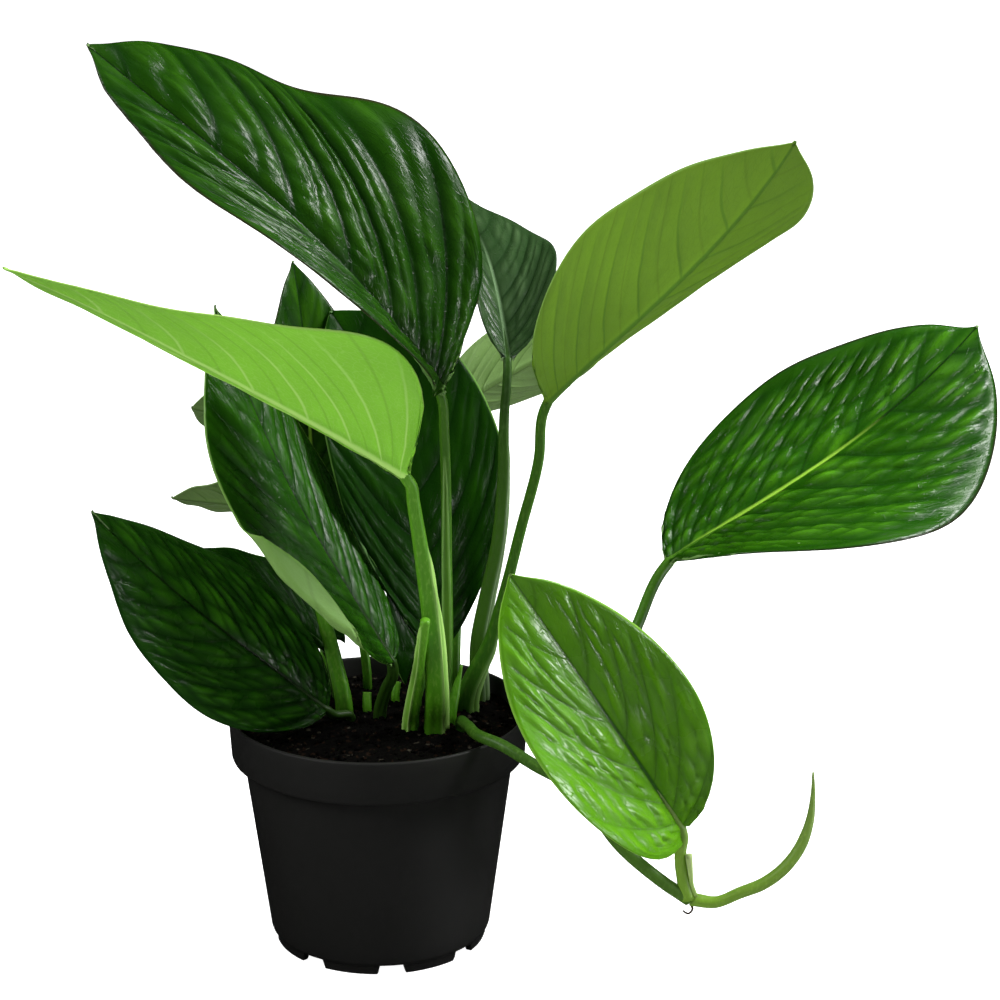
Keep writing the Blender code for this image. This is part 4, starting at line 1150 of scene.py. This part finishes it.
def notched(r, z, angle):
    """Raises what lies below the notches' roof, over the notches' width with soft sides."""
    pitch = 2.0 * math.pi / NOTCHES
    off = np.mod(angle - math.radians(NOTCH_START) + pitch / 2, pitch) - pitch / 2
    away = np.abs(off) * (FOOT_RADIUS - FOOT_WIDTH / 2)
    open_share = eased(rising(NOTCH_WIDTH / 2 + 0.6 - away, 1.2))
    roof = FOOT_HEIGHT - 0.3
    inside = (r > FOOT_RADIUS - FOOT_WIDTH - 0.2) & (z < roof)
    return np.where(inside, z + (roof - z) * open_share, z)


def pot_mesh(steps):
    """The pot's section turned about Z, with its foot notched."""
    profile = np.array(dense_profile(pot_profile(), 6.0))
    angle = np.linspace(0.0, 2.0 * math.pi, steps, endpoint=False)
    r, height = profile[:, :1], profile[:, 1:] + 0.0 * angle
    grid = np.stack([r * np.cos(angle), r * np.sin(angle), notched(r, height, angle)], -1)
    return grid.reshape(-1, 3), ring_walls(len(profile), steps)[2][:, [0, 3, 2, 1]].tolist()


def drill_drains(pot):
    """Takes a round hole out of the floor in line with each notch."""
    shape = bmesh.new()
    for i in range(NOTCHES):
        angle = math.radians(NOTCH_START + i * 360.0 / NOTCHES)
        place = (DRAIN_RING * math.cos(angle), DRAIN_RING * math.sin(angle), FOOT_HEIGHT + FLOOR / 2)
        made = bmesh.ops.create_cone(shape, cap_ends=True, segments=32, radius1=DRAIN_RADIUS * MM,
                                     radius2=DRAIN_RADIUS * MM, depth=6.0 * MM)
        bmesh.ops.translate(shape, verts=made["verts"], vec=Vector(to_frame(place)))
    mesh = bpy.data.meshes.new("drills")
    shape.to_mesh(mesh)
    shape.free()
    drills = bpy.data.objects.new("drills", mesh)
    bpy.context.scene.collection.objects.link(drills)
    cut = pot.modifiers.new("drains", "BOOLEAN")
    cut.operation = "DIFFERENCE"
    cut.object = drills
    cut.solver = "EXACT"
    drilled = bpy.data.meshes.new_from_object(pot.evaluated_get(bpy.context.evaluated_depsgraph_get()))
    pot.modifiers.remove(cut)
    pot.data = drilled
    bpy.data.objects.remove(drills)


# Settings that a user would change

class MonsteraLeafSettings(PropertyGroup):
    """Resolution and relief of every leaf."""

    rows_per_vein: IntProperty(name="Rows per Vein", description="Grid rows between two side veins",
                               default=16, min=4, max=30)
    columns: IntProperty(name="Columns", description="Grid columns from the midrib to the margin",
                         default=36, min=8, max=60)
    vein_lead: FloatProperty(name="Vein Lead", description="How far ahead a side vein meets the margin",
                             default=0.60, min=0.1, max=0.9, subtype="FACTOR")
    puff: FloatProperty(name="Puff", description="Height of the skin between side veins, in mm", default=1.6)
    pucker: FloatProperty(name="Pucker", description="Length of a pucker across the leaf, in mm", default=6.0)
    blister: FloatProperty(name="Blister", description="Height of the fine unevenness, in mm", default=0.28)
    groove: FloatProperty(name="Groove", description="Depth of the midrib's groove, in mm", default=0.7)
    thickness: FloatProperty(name="Thickness", description="Thickness of the skin, in mm", default=0.45)
    keel: FloatProperty(name="Keel", description="Height of the midrib below, in mm", default=0.7)
    raised_vein: FloatProperty(name="Raised Vein", description="Height of side veins below, in mm",
                               default=0.35)
    roughness: FloatProperty(name="Roughness", description="Roughness of the waxy upper face",
                             default=0.24, min=0.0, max=1.0, subtype="FACTOR")


class MonsteraStemSettings(PropertyGroup):
    """Resolution and groove of stalks and runner."""

    sides: IntProperty(name="Sides", description="Points round a stem", default=40, min=8, max=48)
    groove: FloatProperty(name="Groove", description="Depth of a stalk's channel as a share of its radius",
                          default=0.22, min=0.0, max=0.5, subtype="FACTOR")


class MonsteraPotSettings(PropertyGroup):
    """Finish of the nursery pot."""

    steps: IntProperty(name="Steps", description="Faces round the pot", default=480, min=96, max=960)
    colour: FloatVectorProperty(name="Colour", description="Colour of the moulded plastic", subtype="COLOR",
                                size=3, default=(0.0092, 0.0092, 0.0084), min=0.0, max=1.0)
    roughness: FloatProperty(name="Roughness", description="Roughness of the plastic", default=0.5,
                             min=0.0, max=1.0, subtype="FACTOR")


class MonsteraSoilSettings(PropertyGroup):
    """Look of the potting mix."""

    crumbs: IntProperty(name="Crumbs", description="Loose crumbs on the soil", default=1400, min=0, max=4000)
    colour: FloatVectorProperty(name="Colour", description="Colour of the damp mix", subtype="COLOR",
                                size=3, default=(0.0012, 0.0009, 0.0005), min=0.0, max=1.0)


class MonsteraStageSettings(PropertyGroup):
    """Floor, lights and camera."""

    floor: FloatProperty(name="Floor", description="Side of the floor", default=12.0, unit="LENGTH")
    key_power: FloatProperty(name="Key Light", description="Power of the large soft light", default=34.0,
                             unit="POWER")
    surround: FloatProperty(name="Surround", description="Brightness of the surroundings", default=0.2)


# Operators

class MONSTERA_OT_leaves(Operator):
    """Builds every leaf blade as a fine quilted skin"""

    bl_idname = "monstera.leaves"
    bl_label = "Build Leaves"

    def execute(self, context):
        for number, leaf in enumerate(LEAVES):
            points, faces, layers = leaf_mesh(leaf, context.scene.monstera_leaves, 11 + 7 * number)
            made = piece("fine_" + leaf.name, points, faces, leaf_material(leaf.finish), layers)
            settle(made, LEAF_SLOTS[leaf.finish], leaf.name)
        return {"FINISHED"}


class MONSTERA_OT_stalks(Operator):
    """Builds the leaf stalks, sheaths and stubs that stand in the soil"""

    bl_idname = "monstera.stalks"
    bl_label = "Build Stalks"

    def execute(self, context):
        settings = context.scene.monstera_stems
        for stem in STALKS:
            build_stem(stem, settings, settings.groove)
        return {"FINISHED"}


class MONSTERA_OT_runner(Operator):
    """Builds the trailing runner, its stalks, growing shoot, cut sheath and air root"""

    bl_idname = "monstera.runner"
    bl_label = "Build Runner"

    def execute(self, context):
        settings = context.scene.monstera_stems
        for stem in RUNNER_PIECES:
            build_stem(stem, settings, 0.0)
        points = ((*RUNNER_FOOT, SOIL_EDGE + STRAIGHT_FOOT), *RUNNER_POINTS)
        path = smooth_path(points, 150, upright=True)
        path = np.concatenate([[(*RUNNER_FOOT, SOIL_EDGE - SOCKET_DEPTH)], path])
        radii = np.linspace(RUNNER_RADIUS * RUNNER_TAPER[0], RUNNER_RADIUS * RUNNER_TAPER[1], len(path))
        for place in (NODE_ONE, NODE_TWO):
            away = np.linalg.norm(path - np.array(place, float), axis=1)
            radii = radii + NODE_SWELL * bell(away, NODE_SPAN)
        points, faces, layers = tube_mesh(path, radii, settings.sides)
        made = piece("fine_runner", points, faces, stem_material("runner"), layers)
        settle(made, "stalk", "runner")
        return {"FINISHED"}


class MONSTERA_OT_soil(Operator):
    """Builds the potting mix with a grainy top and loose crumbs"""

    bl_idname = "monstera.soil"
    bl_label = "Build Soil"

    def execute(self, context):
        material = soil_material()
        settle(piece("fine_soil", *soil_mesh(), material), "soil", "soil")
        settle(piece("soil_crumbs", *crumb_mesh(context.scene.monstera_soil.crumbs), material), "soil")
        return {"FINISHED"}


class MONSTERA_OT_pot(Operator):
    """Turns the nursery pot with its stepped rim, notched foot ring and drain holes"""

    bl_idname = "monstera.pot"
    bl_label = "Build Pot"

    def execute(self, context):
        made = piece("fine_pot", *pot_mesh(context.scene.monstera_pot.steps), pot_material())
        made.data.set_sharp_from_angle(angle=math.radians(50.0))
        drill_drains(made)
        settle(made, "pot_plastic", "pot")
        return {"FINISHED"}


class MONSTERA_OT_stage(Operator):
    """Sets up the pale floor, the soft studio lights and the camera at the photo's angle"""

    bl_idname = "monstera.stage"
    bl_label = "Set Stage"

    def execute(self, context):
        scene, settings = context.scene, context.scene.monstera_stage
        bpy.ops.mesh.primitive_grid_add(x_subdivisions=8, y_subdivisions=8, size=settings.floor)
        floor = context.object
        floor.name = "floor"
        made, tree, shader = blank_material("pale floor")
        shader.inputs["Base Color"].default_value = (0.6, 0.6, 0.6, 1.0)
        shader.inputs["Emission Color"].default_value = (1.0, 1.0, 1.0, 1.0)
        seen = node(tree, "ShaderNodeLightPath").outputs["Is Camera Ray"]
        tree.links.new(seen, shader.inputs["Emission Strength"])
        shader.inputs["Roughness"].default_value = 0.8
        shader.inputs["Specular IOR Level"].default_value = 0.1
        floor.data.materials.append(made)
        floor.visible_glossy = False
        world = bpy.data.worlds.new("studio")
        world.use_nodes = True
        world.node_tree.nodes["Background"].inputs[0].default_value = (1.0, 1.0, 1.0, 1.0)
        world.node_tree.nodes["Background"].inputs[1].default_value = settings.surround
        world.cycles_visibility.glossy = False
        scene.world = world
        scene.view_settings.view_transform = "Standard"
        for name, (place, size, power) in LAMPS.items():
            light = bpy.data.lights.new(name, "AREA")
            light.size = size
            light.energy = settings.key_power * power
            lamp = bpy.data.objects.new(name, light)
            lamp.visible_glossy = name in LAMPS_IN_REFLECTIONS
            lamp.visible_diffuse = name != "low"
            lamp.location = place
            lamp.rotation_euler = (Vector(LAMPS_AIM_M) - Vector(place)).to_track_quat("-Z", "Y").to_euler()
            scene.collection.objects.link(lamp)
        camera = bpy.data.cameras.new("camera")
        camera.lens = LENS
        camera.sensor_width = SENSOR
        eye = bpy.data.objects.new("camera", camera)
        eye.location = tuple(to_frame(CAMERA_AT))
        eye.rotation_euler = (math.radians(90.0 - CAMERA_TILT), 0.0, 0.0)
        scene.collection.objects.link(eye)
        scene.camera = eye
        return {"FINISHED"}


class MONSTERA_PT_panel(Panel):
    """Lists the plant's settings and the buttons that build its pieces"""

    bl_idname = "MONSTERA_PT_panel"
    bl_label = "Potted Monstera"
    bl_space_type = "VIEW_3D"
    bl_region_type = "UI"
    bl_category = "Monstera"

    def draw(self, context):
        scene = context.scene
        for settings in (scene.monstera_leaves, scene.monstera_stems, scene.monstera_pot,
                         scene.monstera_soil, scene.monstera_stage):
            box = self.layout.box()
            for key in settings.__annotations__:
                box.prop(settings, key)
        for operator in OPERATORS:
            self.layout.operator(operator.bl_idname)


SETTINGS = {
    "monstera_leaves": MonsteraLeafSettings,
    "monstera_stems": MonsteraStemSettings,
    "monstera_pot": MonsteraPotSettings,
    "monstera_soil": MonsteraSoilSettings,
    "monstera_stage": MonsteraStageSettings,
}
OPERATORS = (MONSTERA_OT_pot, MONSTERA_OT_soil, MONSTERA_OT_leaves, MONSTERA_OT_stalks, MONSTERA_OT_runner,
             MONSTERA_OT_stage)


def register():
    for group in SETTINGS.values():
        bpy.utils.register_class(group)
    for name, group in SETTINGS.items():
        setattr(bpy.types.Scene, name, PointerProperty(type=group))
    for operator in OPERATORS:
        bpy.utils.register_class(operator)
    bpy.utils.register_class(MONSTERA_PT_panel)


def unregister():
    bpy.utils.unregister_class(MONSTERA_PT_panel)
    for operator in reversed(OPERATORS):
        bpy.utils.unregister_class(operator)
    for name in SETTINGS:
        delattr(bpy.types.Scene, name)
    for group in reversed(list(SETTINGS.values())):
        bpy.utils.unregister_class(group)


def main():
    register()
    bpy.ops.monstera.pot()
    bpy.ops.monstera.soil()
    bpy.ops.monstera.leaves()
    bpy.ops.monstera.stalks()
    bpy.ops.monstera.runner()
    bpy.ops.monstera.stage()


if __name__ == "__main__":
    main()
